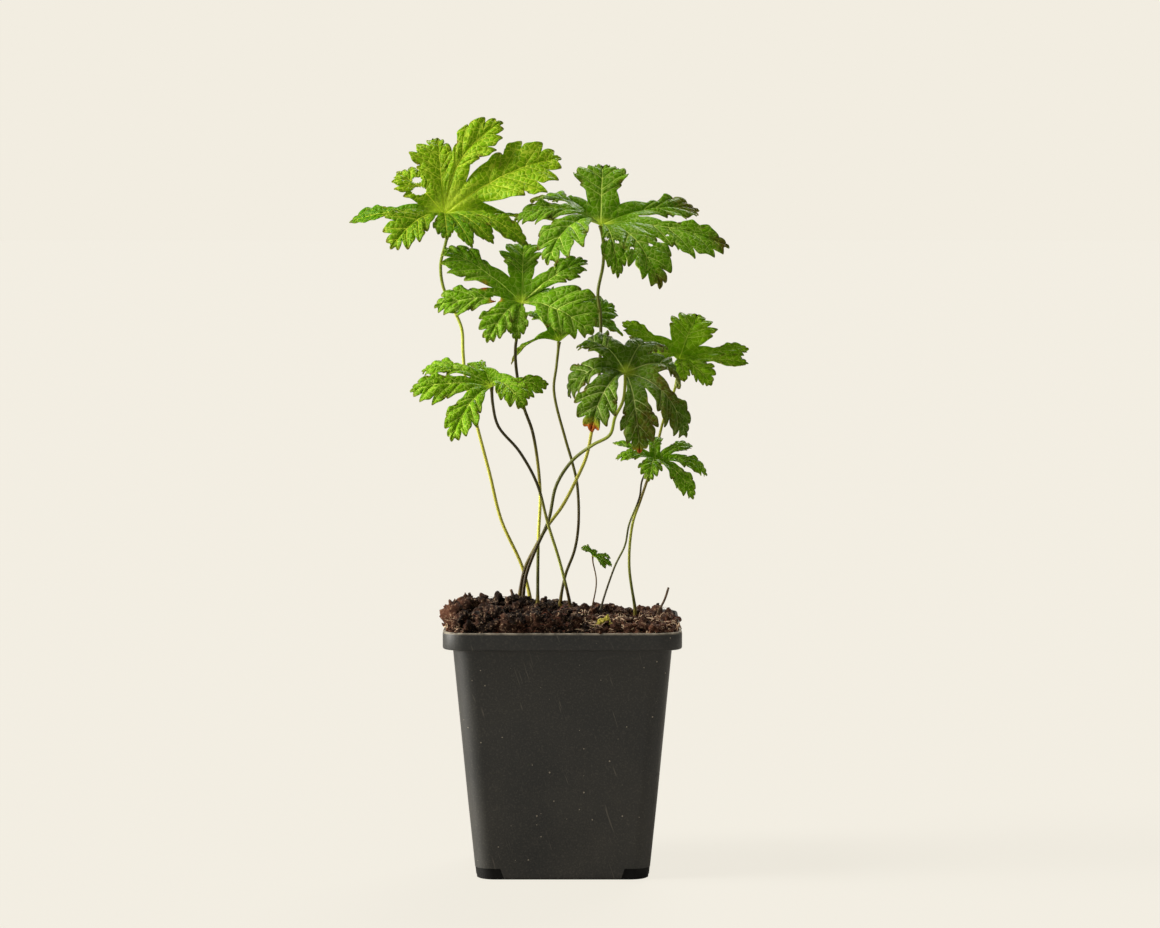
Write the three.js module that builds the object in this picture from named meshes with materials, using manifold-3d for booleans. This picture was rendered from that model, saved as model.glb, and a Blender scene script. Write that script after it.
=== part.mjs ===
// Young hardy geranium in a square 9 cm nursery pot.
// Millimetres, +Z up, pot standing on z = 0 with its centre at the origin, front facing -Y.

import * as THREE from 'three';
import { mergeVertices } from 'three/addons/utils/BufferGeometryUtils.js';
import Module from 'manifold-3d';

const wasm = await Module();
wasm.setup();

// ---- driving dimensions ----------------------------------------------------------------

const GAP = 0.3;                // clearance between pieces that touch on the real plant

const POT_HEIGHT = 95;
const POT_BASE_HALF = 33;       // half width of the body at the table
const POT_NECK_HALF = 41.3;     // half width of the body just under the rim band
const RIM_HALF = 45;            // half width over the rim band
const RIM_DEPTH = 6.7;          // height of the rim band
const WALL = 1.0;
const FLOOR = 3;
const CORNER_RADIUS = 7.5;
const NOTCH_HEIGHT = 4.3;       // dark drainage recess at each bottom corner
const NOTCH_WIDTH = 9.5;
const NOTCH_DEPTH = 0.6;
const DRAIN_RADIUS = 3;
const DRAIN_OFFSET = 21;

const SOIL_EDGE = 94.2;         // soil height against the rim
const SOIL_HEAP = 6.4;          // rise of the soil in the middle
const SOIL_FALL = 3.0;          // how much lower the heap is on the right

const BLADE_THICKNESS = 0.7;
const BLADE_FOLD = 10;          // degrees that each half of a lobe lifts from its midrib
const WEB = 0.24;               // share of a lobe, from the hub, that is joined to the next
const STEM_DEPTH = 13;          // length of a stem that stands in the soil
const STEM_FOOT = 2;            // height above the soil from which a stem is upright

const LEAF_GREEN = 0x4f8a1c;
const YOUNG_GREEN = 0x7fae1e;
const DARK_GREEN = 0x35601f;

// ---- small helpers ---------------------------------------------------------------------

const vec = (p) => new THREE.Vector3(...p);
const radians = THREE.MathUtils.degToRad;
const smooth = (x) => THREE.MathUtils.smoothstep(x, 0, 1);

function toSolid(geometry) {
  const bare = geometry.clone();
  bare.deleteAttribute('normal');
  bare.deleteAttribute('uv');
  const merged = mergeVertices(bare, 1e-4);
  return new wasm.Manifold(new wasm.Mesh({
    numProp: 3,
    vertProperties: new Float32Array(merged.attributes.position.array),
    triVerts: new Uint32Array(merged.index.array),
  }));
}

function toGeometry(solid) {
  const mesh = solid.getMesh();
  const geometry = new THREE.BufferGeometry();
  geometry.setAttribute('position', new THREE.BufferAttribute(new Float32Array(mesh.vertProperties), 3));
  geometry.setIndex(new THREE.BufferAttribute(new Uint32Array(mesh.triVerts), 1));
  geometry.computeVertexNormals();
  return geometry;
}

function indexed(points, faces) {
  const geometry = new THREE.BufferGeometry().setFromPoints(points);
  geometry.setIndex(faces.flat());
  return geometry;
}

// Closed skin over a stack of rings with equal counts, capped by a fan at each end.
function loft(rings) {
  const count = rings[0].length;
  const points = rings.flat();
  const faces = [];
  for (let r = 0; r < rings.length - 1; r++) {
    for (let i = 0; i < count; i++) {
      const a = r * count + i;
      const b = r * count + (i + 1) % count;
      faces.push([a, b, b + count], [a, b + count, a + count]);
    }
  }
  const centre = (ring) => ring.reduce((sum, p) => sum.add(p), vec([0, 0, 0])).divideScalar(count);
  const first = points.push(centre(rings[0])) - 1;
  const last = points.push(centre(rings.at(-1))) - 1;
  const top = (rings.length - 1) * count;
  for (let i = 0; i < count; i++) {
    const next = (i + 1) % count;
    faces.push([first, next, i], [last, top + i, top + next]);
  }
  return indexed(points, faces);
}

// ---- pot -------------------------------------------------------------------------------

function roundedSquare(half, radius, z, arcSteps = 6) {
  const ring = [];
  for (let corner = 0; corner < 4; corner++) {
    const turn = corner * Math.PI / 2;
    const middle = vec([half - radius, half - radius, z]).applyAxisAngle(vec([0, 0, 1]), turn);
    for (let k = 0; k <= arcSteps; k++) {
      const angle = turn + (k / arcSteps) * Math.PI / 2;
      ring.push(vec([middle.x + radius * Math.cos(angle), middle.y + radius * Math.sin(angle), z]));
    }
  }
  return ring;
}

function makePot() {
  const bandBottom = POT_HEIGHT - RIM_DEPTH;
  const innerNeck = POT_NECK_HALF - WALL;
  const innerBase = POT_BASE_HALF - WALL - 0.2;
  const body = toSolid(loft([
    roundedSquare(POT_BASE_HALF - 1, CORNER_RADIUS - 1, 0),
    roundedSquare(POT_BASE_HALF - 0.2, CORNER_RADIUS - 0.3, 0.6),
    roundedSquare(POT_BASE_HALF + 0.15, CORNER_RADIUS, 2),
    roundedSquare(POT_NECK_HALF, CORNER_RADIUS + 1, bandBottom),
    roundedSquare(RIM_HALF - 0.2, CORNER_RADIUS + 1, bandBottom),
    roundedSquare(RIM_HALF, CORNER_RADIUS + 1, bandBottom + 0.8),
    roundedSquare(RIM_HALF, CORNER_RADIUS + 1, POT_HEIGHT - 0.6),
    roundedSquare(RIM_HALF - 0.4, CORNER_RADIUS + 0.7, POT_HEIGHT),
    roundedSquare(RIM_HALF - WALL, CORNER_RADIUS, POT_HEIGHT),
    roundedSquare(RIM_HALF - WALL - 0.2, CORNER_RADIUS, bandBottom + 1),
    roundedSquare(innerNeck, CORNER_RADIUS, bandBottom + 1),
    roundedSquare(innerBase, CORNER_RADIUS - 1, FLOOR),
  ]));

  // shallow recess around each bottom corner, with a drain hole behind it
  let pot = body;
  const inset = POT_BASE_HALF - NOTCH_DEPTH;
  const shell = toSolid(loft([
    roundedSquare(POT_BASE_HALF + 4, CORNER_RADIUS, -1),
    roundedSquare(POT_BASE_HALF + 4, CORNER_RADIUS, NOTCH_HEIGHT),
  ])).subtract(toSolid(loft([
    roundedSquare(inset, CORNER_RADIUS - NOTCH_DEPTH, -2),
    roundedSquare(inset + 0.3, CORNER_RADIUS - NOTCH_DEPTH, NOTCH_HEIGHT + 1),
  ])));
  for (const [sx, sy] of [[1, 1], [-1, 1], [-1, -1], [1, -1]]) {
    const reach = POT_BASE_HALF - NOTCH_WIDTH;
    const block = new THREE.BoxGeometry(30, 30, 20).translate(sx * (reach + 15), sy * (reach + 15), 0);
    const drain = new THREE.CylinderGeometry(DRAIN_RADIUS, DRAIN_RADIUS, 20, 16)
      .rotateX(Math.PI / 2).translate(sx * DRAIN_OFFSET, sy * DRAIN_OFFSET, 0);
    pot = pot.subtract(shell.intersect(toSolid(block))).subtract(toSolid(drain));
  }
  return pot;
}

// ---- soil ------------------------------------------------------------------------------

function soilTop(x, y) {
  const reach = ((x ** 4 + y ** 4) ** 0.25) / (RIM_HALF - WALL);
  const heap = SOIL_HEAP - SOIL_FALL * smooth((x + 5) / 35) - 1.5 * smooth(-y / 40);
  const lumps = 0.8 * Math.sin(0.42 * x + 1.1) * Math.sin(0.5 * y + 0.4)
    + 0.6 * Math.sin(0.83 * x - 0.71 * y + 0.6);
  return SOIL_EDGE + (heap + lumps) * (1 - Math.min(reach, 1) ** 4);
}

function makeSoil(stems) {
  const bandBottom = POT_HEIGHT - RIM_DEPTH;
  const lip = RIM_HALF - WALL - 0.2 - GAP;
  const neck = POT_NECK_HALF - WALL - GAP;
  const base = POT_BASE_HALF - WALL - 0.2 - GAP;
  const outer = roundedSquare(lip, CORNER_RADIUS - GAP, 0, 8);
  const surface = [0.95, 0.84, 0.7, 0.54, 0.38, 0.22, 0.08].map((share) =>
    outer.map((p) => vec([p.x * share, p.y * share, soilTop(p.x * share, p.y * share)])));
  let soil = toSolid(loft([
    roundedSquare(base, CORNER_RADIUS - 1, FLOOR + GAP, 8),
    roundedSquare(neck, CORNER_RADIUS - GAP, bandBottom + 1 + GAP, 8),
    roundedSquare(lip, CORNER_RADIUS - GAP, bandBottom + 1 + GAP, 8),
    roundedSquare(lip, CORNER_RADIUS - GAP, SOIL_EDGE, 8),
    ...surface,
  ]));
  for (const stem of stems) soil = soil.subtract(stemHole(stem));
  return soil;
}

// ---- stems -----------------------------------------------------------------------------

function tube(points, radius, steps, sides) {
  const section = new THREE.Shape().absarc(0, 0, radius, 0, 2 * Math.PI);
  const path = new THREE.CatmullRomCurve3(points);
  return toSolid(new THREE.ExtrudeGeometry(section, {
    steps, curveSegments: sides / 2, bevelEnabled: false, extrudePath: path,
  }));
}

// A stem runs down its route to its foot on the soil and stands upright in it.
function stemTube({ route, foot: [x, y], steps = 20, sides = 6 }, radius) {
  const ground = soilTop(x, y);
  const standing = [STEM_FOOT, 0, -STEM_DEPTH / 2, -STEM_DEPTH].map((rise) => vec([x, y, ground + rise]));
  return tube([...route.map(vec), ...standing], radius, steps, sides);
}

const stemSolid = (stem) => stemTube(stem, stem.radius);

function stemHole(stem) {
  const [x, y] = stem.foot;
  const radius = stem.radius + GAP + 0.05;
  const end = new THREE.CylinderGeometry(radius, radius, 3, stem.sides ?? 6)
    .rotateX(Math.PI / 2).translate(x, y, soilTop(x, y) - STEM_DEPTH - GAP + 1.5);
  return stemTube(stem, radius).add(toSolid(end));
}

// ---- leaves ----------------------------------------------------------------------------

// One side of a lobe beyond the web: place of the rib on the midrib, then the point of the
// margin that the rib runs to, along the lobe and across it in half widths. Rows alternate
// between the tip of a tooth and the notch after it.
function margin(cut) {
  return [
    [0.12, 0.28, 0.62],
    [0.20, 0.42, 0.82], [0.27, 0.43, 0.82 - 0.55 * cut],
    [0.38, 0.65, 1.00], [0.50, 0.61, 1.00 - 1.05 * cut],
    [0.62, 0.84, 0.74], [0.74, 0.80, 0.74 - 0.85 * cut],
    [0.85, 0.95, 0.36], [0.90, 0.925, 0.36 - 0.38 * cut],
  ];
}

// A lobe is an arched midrib from the hub to its tip with a half width on each side.
// widths: towards the lobe before it and towards the lobe after it; bow: height of the arch.
function lobe(tip, widths, bow, { roll = 0, sway = 0, cut } = {}) {
  return { tip, widths, bow, roll, sway, cut };
}

class LobeCurve {
  constructor(leaf, { tip, widths, bow, roll, sway, cut }) {
    this.hub = vec(leaf.hub);
    this.tip = vec(tip);
    this.widths = widths;
    this.cut = cut ?? leaf.cut;
    const along = this.tip.clone().normalize();
    const face = vec(leaf.face).normalize();
    this.up = face.addScaledVector(along, -face.dot(along)).normalize().applyAxisAngle(along, radians(roll));
    const across = this.up.clone().cross(along);
    this.control = this.tip.clone().multiplyScalar(0.5)
      .addScaledVector(this.up, 2 * bow).addScaledVector(across, 2 * sway);
  }

  midrib(t) {
    return this.hub.clone().addScaledVector(this.control, 2 * t * (1 - t)).addScaledVector(this.tip, t * t);
  }

  // point beside the midrib, positive towards the next lobe
  beside(t, distance) {
    const tangent = this.control.clone().multiplyScalar(1 - 2 * t).addScaledVector(this.tip, t).normalize();
    const normal = this.up.clone().addScaledVector(tangent, -this.up.dot(tangent)).normalize();
    const across = normal.clone().cross(tangent);
    return this.midrib(t).addScaledVector(across, distance * Math.cos(radians(BLADE_FOLD)))
      .addScaledVector(normal, Math.abs(distance) * Math.sin(radians(BLADE_FOLD)));
  }
}

// Bottom of the slit between two neighbouring lobes.
function sinus(a, b) {
  const ra = a.midrib(WEB).sub(a.hub);
  const rb = b.midrib(WEB).sub(b.hub);
  const radius = (ra.length() + rb.length()) / 2;
  return a.hub.clone().addScaledVector(ra.add(rb).normalize(), radius);
}

// The blade as one sheet of triangles, seen from its upper face.
function leafSheet(leaf) {
  const lobes = leaf.lobes.map((shape) => new LobeCurve(leaf, shape));
  const points = [vec(leaf.hub)];
  const faces = [];
  const add = (p) => points.push(p) - 1;
  const slits = lobes.slice(0, -1).map((l, i) => add(sinus(l, lobes[i + 1])));
  lobes.forEach((l, i) => {
    const rows = margin(l.cut);
    const ribs = [add(l.midrib(WEB)), ...rows.map(([m]) => add(l.midrib(WEB + (1 - WEB) * m)))];
    const tip = add(l.midrib(1));
    for (const side of [1, -1]) {
      const width = side > 0 ? l.widths[1] : l.widths[0];
      const shared = side > 0 ? slits[i] : slits[i - 1];
      const start = shared ?? add(l.beside(WEB, side * 0.35 * width));
      const offset = points[start].clone().sub(l.midrib(WEB)).length();
      const shift = points[start].clone().sub(l.beside(WEB, side * offset));
      const edge = [start, ...rows.map(([, x, y]) => add(
        l.beside(WEB + (1 - WEB) * x, side * y * width).addScaledVector(shift, Math.max(0, 1 - 2 * x) ** 2)))];
      const face = (a, b, c) => faces.push(side > 0 ? [a, b, c] : [a, c, b]);
      face(0, ribs[0], start);
      for (let k = 0; k < rows.length; k++) {
        face(ribs[k], ribs[k + 1], edge[k + 1]);
        face(ribs[k], edge[k + 1], edge[k]);
      }
      face(ribs.at(-1), tip, edge.at(-1));
    }
  });
  return { points, faces };
}

// Gives a sheet its thickness, with the same triangles on both faces and a wall around it.
function thicken({ points, faces }, thickness) {
  const count = points.length;
  const normals = points.map(() => vec([0, 0, 0]));
  const open = new Map();
  for (const [a, b, c] of faces) {
    const normal = points[b].clone().sub(points[a]).cross(points[c].clone().sub(points[a]));
    for (const i of [a, b, c]) normals[i].add(normal);
    for (const [p, q] of [[a, b], [b, c], [c, a]]) {
      if (!open.delete(`${q} ${p}`)) open.set(`${p} ${q}`, [p, q]);
    }
  }
  normals.forEach((n) => n.normalize());
  const upper = points.map((p, i) => p.clone().addScaledVector(normals[i], thickness / 2));
  const lower = points.map((p, i) => p.clone().addScaledVector(normals[i], -thickness / 2));
  const walls = [...open.values()].flatMap(([p, q]) => [[p, p + count, q + count], [p, q + count, q]]);
  const back = faces.map(([a, b, c]) => [a + count, c + count, b + count]);
  return indexed([...upper, ...lower], [...faces, ...back, ...walls]);
}

function makeLeaf(leaf) {
  return toSolid(thicken(leafSheet(leaf), BLADE_THICKNESS)).add(stemSolid(stemOf(leaf)));
}

// The stalk starts just above the hub and runs down to the soil.
function stemOf({ hub, face, stem }) {
  const top = vec(hub).addScaledVector(vec(face).normalize(), 0.35).toArray();
  return { ...stem, route: [top, ...stem.route] };
}

// ---- the leaves, lobes listed anticlockwise seen from the upper face -------------------

const LEAVES = [
  {
    name: 'leaf_top_left', colour: YOUNG_GREEN, hub: [-45.5, 5, 251], face: [0, -0.75, 0.65], cut: 0.4,
    lobes: [
      lobe([2, -20, -9.5], [5, 3], 4),
      lobe([11.5, -22, -12.5], [2.6, 2.6], 5),
      lobe([19.5, -16, -11], [3, 3.8], 6),
      lobe([32.5, -13, -11.5], [4.5, 4], 9),
      lobe([46.5, 7, -2.5], [4, 3], 1.5, { roll: -20 }),
      lobe([45, 8, 23], [14, 13], 3, { sway: 2 }),
      lobe([22.5, 10, 37], [7.5, 7], 3, { sway: 5 }),
      lobe([-5, 13, 30], [6, 9.5], 3),
      lobe([-18.5, 6, 16.5], [4.5, 8.5], 3),
      lobe([-37, 8, -3], [4, 3], 4),
      lobe([-20, -19, -13], [10, 9], 6.5),
    ],
    stem: {
      radius: 0.85,
      route: [[-44.5, 6, 243], [-47, 8, 232], [-46, 9, 223], [-42, 10, 214.5], [-39, 10, 207], [-38.5, 10, 198],
        [-37.5, 11, 187], [-33, 13, 168.5], [-28.5, 15, 151], [-24, 17, 132.5], [-16, 18, 114.5]],
      foot: [-12.8, 18],
    },
  },
  {
    name: 'leaf_top', colour: LEAF_GREEN, hub: [14.5, 5, 247], face: [0, -0.3, 0.95], cut: 0.5,
    lobes: [
      lobe([6.5, -24, -20], [5, 4.5], 8),
      lobe([22.5, -25, -24], [8, 8.5], 8),
      lobe([49.5, -6, -8.5], [12, 3.5], 6, { roll: 35 }),
      lobe([38.5, 18, 6], [6, 7], 5, { roll: 15 }),
      lobe([1.5, 27, 17.5], [10, 9.5], 10.5),
      lobe([-27, 22, 9], [5.5, 6], 5),
      lobe([-33.5, -3, 2], [4, 8], 7, { roll: -25 }),
      lobe([-20.5, -22, -15], [9, 14], 8.5),
    ],
    stem: {
      radius: 0.85,
      route: [[15.5, 5.5, 241], [15.5, 6, 232], [13.5, 7, 221], [14.5, 7.5, 212], [14, 8, 189], [11, 9, 167],
        [9, 10, 157.5], [5, 9, 148.5], [-0.3, 9, 138.5], [-5.8, 9, 131], [-11, 9.5, 122], [-14.8, 11, 114]],
      foot: [-17, 12],
    },
  },
  {
    name: 'leaf_left', colour: LEAF_GREEN, hub: [-15.5, -10, 217.5], face: [0, -0.75, 0.65], cut: 0.5,
    lobes: [
      lobe([27, -16, -11.5], [10, 13], 5.5, { cut: 0.25 }),
      lobe([21.5, 6, 3.5], [4, 4], 3, { roll: -45 }),
      lobe([25, 5, 16.5], [7, 5], 3),
      lobe([0.5, 18, 23], [7.5, 9.5], 3),
      lobe([-30, 6, 21], [5, 11], 3),
      lobe([-33.5, -4, -1.5], [6, 8], 4),
      lobe([-13, -19, -14.5], [7.5, 6], 5),
      lobe([-2, -18, -14], [3.5, 4], 4),
    ],
    stem: {
      radius: 0.8,
      route: [[-16.5, -9, 209], [-18, -7, 200.5], [-17.5, -3, 190], [-15, 1, 177.5], [-11.5, 4, 167],
        [-8.8, 7, 145], [-9.6, 13, 124]],
      foot: [-9.8, 12],
    },
  },
  {
    name: 'leaf_centre_back', colour: DARK_GREEN, hub: [-1.5, 15, 202], face: [0, -0.2, 0.98], cut: 0.45,
    lobes: [
      lobe([25, 7, 2], [4, 3], 8, { roll: 25 }),
      lobe([21.5, 12, 14], [8, 7], 4, { roll: 40 }),
      lobe([3, 20, 11], [7, 7], 4),
      lobe([-15, 13, 9], [6, 6], 5),
      lobe([-18.5, -8, -8.5], [3.5, 3], 5),
    ],
    stem: {
      radius: 0.75,
      route: [[-2.5, 15, 192.5], [-3.5, 15, 183], [1, 16, 164], [3.5, 16, 155.5], [5.5, 16, 146.5],
        [6, 15, 131], [4.5, 15, 121], [1, 14, 111.5]],
      foot: [-1, 14],
    },
  },
  {
    name: 'leaf_low_left', colour: LEAF_GREEN, hub: [-27, -15, 186], face: [0, -0.6, 0.8], cut: 0.5,
    lobes: [
      lobe([13, -18, -8], [7, 6], 5.5),
      lobe([22, -2, 1], [6, 2.5], 4, { roll: 35 }),
      lobe([-7, 14, 8.5], [2.5, 5], 3),
      lobe([-27, 8, 5.5], [4, 6], 5),
      lobe([-31, -4, -1.5], [4, 9], 4, { roll: -20 }),
      lobe([-15, -17, -20], [6, 8], 5.5),
    ],
    stem: {
      radius: 0.75,
      route: [[-26.5, -14, 179], [-24.5, -10, 170.5], [-16.5, -5, 160.5], [-9.8, -3, 148], [-5.7, -1, 132.5],
        [-1, 2, 117]],
      foot: [3, 6],
    },
  },
  {
    name: 'leaf_low_right', colour: DARK_GREEN, hub: [24, -15, 191], face: [0, -0.6, 0.8], cut: 0.45,
    lobes: [
      lobe([5, -17, -29.5], [4.5, 7], 8.5),
      lobe([23, -8, -24], [10, 4.5], 9),
      lobe([20.5, 10, -6], [7, 7], 8),
      lobe([9.5, 20, 7], [9, 7], 7.5),
      lobe([-16.5, 12, 10.5], [6.5, 7], 6),
      lobe([-22, 0, -9], [6, 7], 8),
      lobe([-13.5, -17, -21.5], [8.5, 7], 8.5),
    ],
    stem: {
      radius: 0.85,
      route: [[23, -12, 180.5], [20, -9, 174], [18, -6, 167], [11.5, -3, 163], [3.5, 2, 156.5],
        [-2.5, 4, 147], [-5.5, 5, 133.5], [-10.8, 5, 121.5], [-14.2, 5, 112]],
      foot: [-15.5, 5],
    },
  },
  {
    name: 'leaf_far_right', colour: LEAF_GREEN, hub: [45, 20, 194.5], face: [0, -0.8, 0.6], cut: 0.4,
    lobes: [
      lobe([2, -9, -8], [5, 3.5], 4),
      lobe([12.5, -8, -9.5], [4.5, 6], 4),
      lobe([27, -4, -1], [2.5, 2.5], 2),
      lobe([27.5, 4, 4.5], [4.5, 2.2], 2),
      lobe([9.5, 8, 17.5], [12, 8.5], 2),
      lobe([-22, 4, 15], [2.5, 5], 2),
      lobe([-12, -4, 1], [4, 4], 4),
    ],
    stem: {
      radius: 0.7,
      route: [[43.5, 18, 184], [39, 16, 171.5], [36.5, 14, 162], [33, 13, 149.5], [30, 13, 140.5],
        [27, 13, 131.5], [25.7, 14, 115]],
      foot: [28, 15],
    },
  },
  {
    name: 'leaf_small', colour: DARK_GREEN, hub: [36, -5, 158.5], face: [0, -0.6, 0.8], cut: 0.5,
    lobes: [
      lobe([-3, -14, -8.5], [5.5, 5], 4.5),
      lobe([14, -11, -15.5], [5.5, 3.5], 5.5),
      lobe([19.5, -2, -7], [5, 3.5], 5),
      lobe([14, 6, 4], [3.5, 3], 3.5),
      lobe([-1, 12, 6.5], [3.5, 3.5], 4),
      lobe([-17, 8, 5], [1.8, 1.8], 2.5),
      lobe([-16, -2, -0.5], [2.5, 4], 4),
    ],
    stem: {
      radius: 0.5, steps: 14,
      route: [[33.5, -4, 155], [30.5, -2, 149.5], [29.5, 2, 142.5], [25.5, 6, 131.5], [24, 8, 123.5],
        [20, 9, 115]],
      foot: [14.5, 10],
    },
  },
  {
    name: 'leaf_seedling', colour: DARK_GREEN, hub: [11.5, 0, 120], face: [0.3, -0.5, 0.8], cut: 0.4,
    lobes: [
      lobe([5, -3, -4.5], [1.2, 1.2], 1),
      lobe([7.5, 0, -4], [1.4, 1.4], 1),
      lobe([7, 2, -1], [1.2, 1.4], 1),
      lobe([1, 2, 2.5], [1.2, 1.2], 0.5),
      lobe([-4.5, 0, 3.5], [2.6, 2.2], 1),
    ],
    stem: {
      radius: 0.35, steps: 8,
      route: [[11.6, 2, 117.5], [12.8, 4, 111.5], [12.8, 5, 107.5]],
      foot: [11.2, 6],
    },
  },
];

// dead leaf stalks, broken off above the soil
const STUBS = [
  { name: 'stub_left', radius: 0.7, steps: 5, route: [[-20, 1, 107], [-19, 1.5, 104]], foot: [-18.5, 2] },
  { name: 'stub_right', radius: 0.6, steps: 5, route: [[41, 14, 106.5], [39.5, 13, 102]], foot: [37, 12] },
];

// ---- assembly --------------------------------------------------------------------------

function addPiece(group, name, solid, colour, roughness) {
  const material = new THREE.MeshStandardMaterial({ color: colour, roughness });
  const mesh = new THREE.Mesh(toGeometry(solid), material);
  mesh.name = name;
  group.add(mesh);
}

const geranium = new THREE.Group();
geranium.name = 'hardy_geranium';
addPiece(geranium, 'pot', makePot(), 0x2e2c29, 0.55);
addPiece(geranium, 'soil', makeSoil([...LEAVES.map(stemOf), ...STUBS]), 0x2a1c12, 0.95);
for (const leaf of LEAVES) addPiece(geranium, leaf.name, makeLeaf(leaf), leaf.colour, 0.6);
for (const stub of STUBS) addPiece(geranium, stub.name, stemSolid(stub), 0x4a3420, 0.85);

export default geranium;
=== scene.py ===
"""Finish of a young hardy geranium in a square nursery pot: leaves, stalks, compost, pot and stage."""

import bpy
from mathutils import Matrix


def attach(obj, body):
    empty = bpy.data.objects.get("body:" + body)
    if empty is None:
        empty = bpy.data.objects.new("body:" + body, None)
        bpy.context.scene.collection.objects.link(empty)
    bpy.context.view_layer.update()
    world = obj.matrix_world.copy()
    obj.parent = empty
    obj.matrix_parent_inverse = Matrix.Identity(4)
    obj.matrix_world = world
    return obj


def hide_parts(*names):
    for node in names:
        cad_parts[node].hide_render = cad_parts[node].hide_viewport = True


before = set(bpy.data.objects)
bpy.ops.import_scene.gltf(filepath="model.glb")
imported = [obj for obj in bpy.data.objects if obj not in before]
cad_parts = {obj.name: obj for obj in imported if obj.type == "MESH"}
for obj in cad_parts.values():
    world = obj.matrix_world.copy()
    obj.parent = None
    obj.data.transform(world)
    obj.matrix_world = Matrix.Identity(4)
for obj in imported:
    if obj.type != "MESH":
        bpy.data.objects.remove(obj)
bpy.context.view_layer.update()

import contextlib
import functools
import itertools
import math
import random

import bpy
import numpy as np
from bpy.props import FloatProperty, FloatVectorProperty, IntProperty, PointerProperty, StringProperty
from mathutils import Vector, noise

bl_info = {
    "name": "Hardy geranium in a nursery pot",
    "version": (1, 0, 0),
    "blender": (4, 5, 0),
    "location": "View3D > Sidebar > Geranium",
    "description": "Dresses the plant, its compost and its pot, and sets the stage",
    "category": "Object",
}

MM = 0.001
SAME_PLACE = 1e-6

# camera: place and aim in metres, lens and sensor in mm, and how far it sees in metres
CAMERA, AIM = (0.00661, -1.5, 0.25314), (0.00661, 0, 0.15549)
LENS, SENSOR, FARTHEST = 121.5, 36, 200
LAMP_COLOUR, ROOM_COLOUR = (1.0, 0.97, 0.9), (1.0, 0.98, 0.94, 1.0)

# in mm: half width of the heap and of what lies on it, the drain holes, how deep a stalk stands
HEAP_HALF, RIM_INSIDE = 44, 44.8
DRAIN_RADIUS, DRAIN_PLACE = 3, 21
STALK_DEPTH, HAIR_ROOT = 13, 0.02

# in mm: points of a blade this close are one, edges this short go, and farther than any vein
SEAM, SLIVER, FAR = 0.004, 0.002, 99.0

# thickness of a stalk as a share of its solid's, and how many times a blade is evened out
STALK_SHARE, EVEN_ROUNDS = 0.8, 14

# three ways round a thin strand, and a direction that none of them runs along
THREE_WAYS, LEANING = (0, 2.094, 4.189), (0.11, 0.23, 0.97)


# ---- colours, sizes and choices -----------------------------------------------------------

def linear(text):
    """An sRGB hex colour as a linear colour."""
    parts = [int(text[i:i + 2], 16) / 255 for i in (0, 2, 4)]
    return tuple(c / 12.92 if c <= 0.04045 else ((c + 0.055) / 1.055) ** 2.4 for c in parts) + (1.0,)


def colour(name, description, text):
    return FloatVectorProperty(name=name, description=description, subtype="COLOR", size=4, min=0, max=1,
                               default=linear(text))


def length(name, description, value_mm, low=0.0):
    return FloatProperty(name=name, description=description, subtype="DISTANCE", unit="LENGTH",
                         default=value_mm * MM, min=low)


def strength(name, description, value):
    return FloatProperty(name=name, description=description, default=value, min=0)


class PotSettings(bpy.types.PropertyGroup):
    height: length("Height", "Height of the pot", 95)
    base_half: length("Base half width", "Half width of the body at the table", 33)
    neck_half: length("Neck half width", "Half width of the body under the rim band", 41.3)
    rim_half: length("Rim half width", "Half width over the rim band", 45)
    rim_depth: length("Rim depth", "Height of the rim band", 6.7)
    corner: length("Corner radius", "Radius of the upright corners at the table", 7.5)
    wall: length("Wall", "Wall thickness", 1.0)
    floor: length("Floor", "Floor thickness", 3.0)
    plastic: colour("Plastic", "Colour of the plastic", "161717")
    dust: colour("Dust", "Colour of the dust on it", "827a6c")


class CompostSettings(bpy.types.PropertyGroup):
    level: length("Edge level", "Height of the compost against the rim", 94.2)
    heap: length("Heap", "Rise of the compost in the middle", 6.4)
    fall: length("Fall", "How much lower the heap is on the right", 3.0)
    settled: length("Settled", "How far the compost has sunk behind its middle", 2.2)
    crumbs: IntProperty(name="Crumbs", description="Number of loose crumbs", default=950, min=0)
    strands: IntProperty(name="Strands", description="Number of peat strands", default=420, min=0)
    peat: colour("Peat", "Colour of the compost", "1b100a")
    fibre: colour("Fibre", "Colour of the reddish peat fibre", "523324")
    seed: IntProperty(name="Seed", description="Start of the random draws", default=7)


class LeafSettings(bpy.types.PropertyGroup):
    cell: length("Mesh cell", "Spacing of the mesh of a blade", 0.62, 0.0001)
    thickness: length("Thickness", "Thickness of a blade", 0.3)
    fold: FloatProperty(name="Fold", description="How far each half of a lobe lifts from its midrib",
                        subtype="ANGLE", unit="ROTATION", default=math.radians(10))
    groove: length("Vein groove", "Depth of the main veins in the upper face", 0.16)
    quilt: length("Quilting", "Rise of the blade between its side veins", 1.0)
    net: length("Vein net", "Spacing of the net of small veins", 2.3, 0.0001)
    hairs: IntProperty(name="Hairs", description="Hairs on each centimetre of stalk", default=40, min=0)
    hair: length("Hair length", "Length of the longest hairs on the stalks", 0.6)


class StageSettings(bpy.types.PropertyGroup):
    paper: colour("Paper", "Colour of floor and background", "f2ede1")
    key: strength("Key light", "Strength of the soft light at the upper left", 3.7)
    fill: strength("Fill light", "Strength of the light at the right", 0.35)
    side: strength("Side light", "Strength of the low light at the left", 9.0)
    back: strength("Back light", "Strength of the light above and behind", 3.0)
    sky: strength("Room light", "Strength of the light from all round", 0.16)
    shadow: FloatProperty(name="Floor share", default=0.045, subtype="FACTOR",
                          description="Share of the floor's brightness that takes a shadow")


# ---- small helpers ------------------------------------------------------------------------

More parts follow.
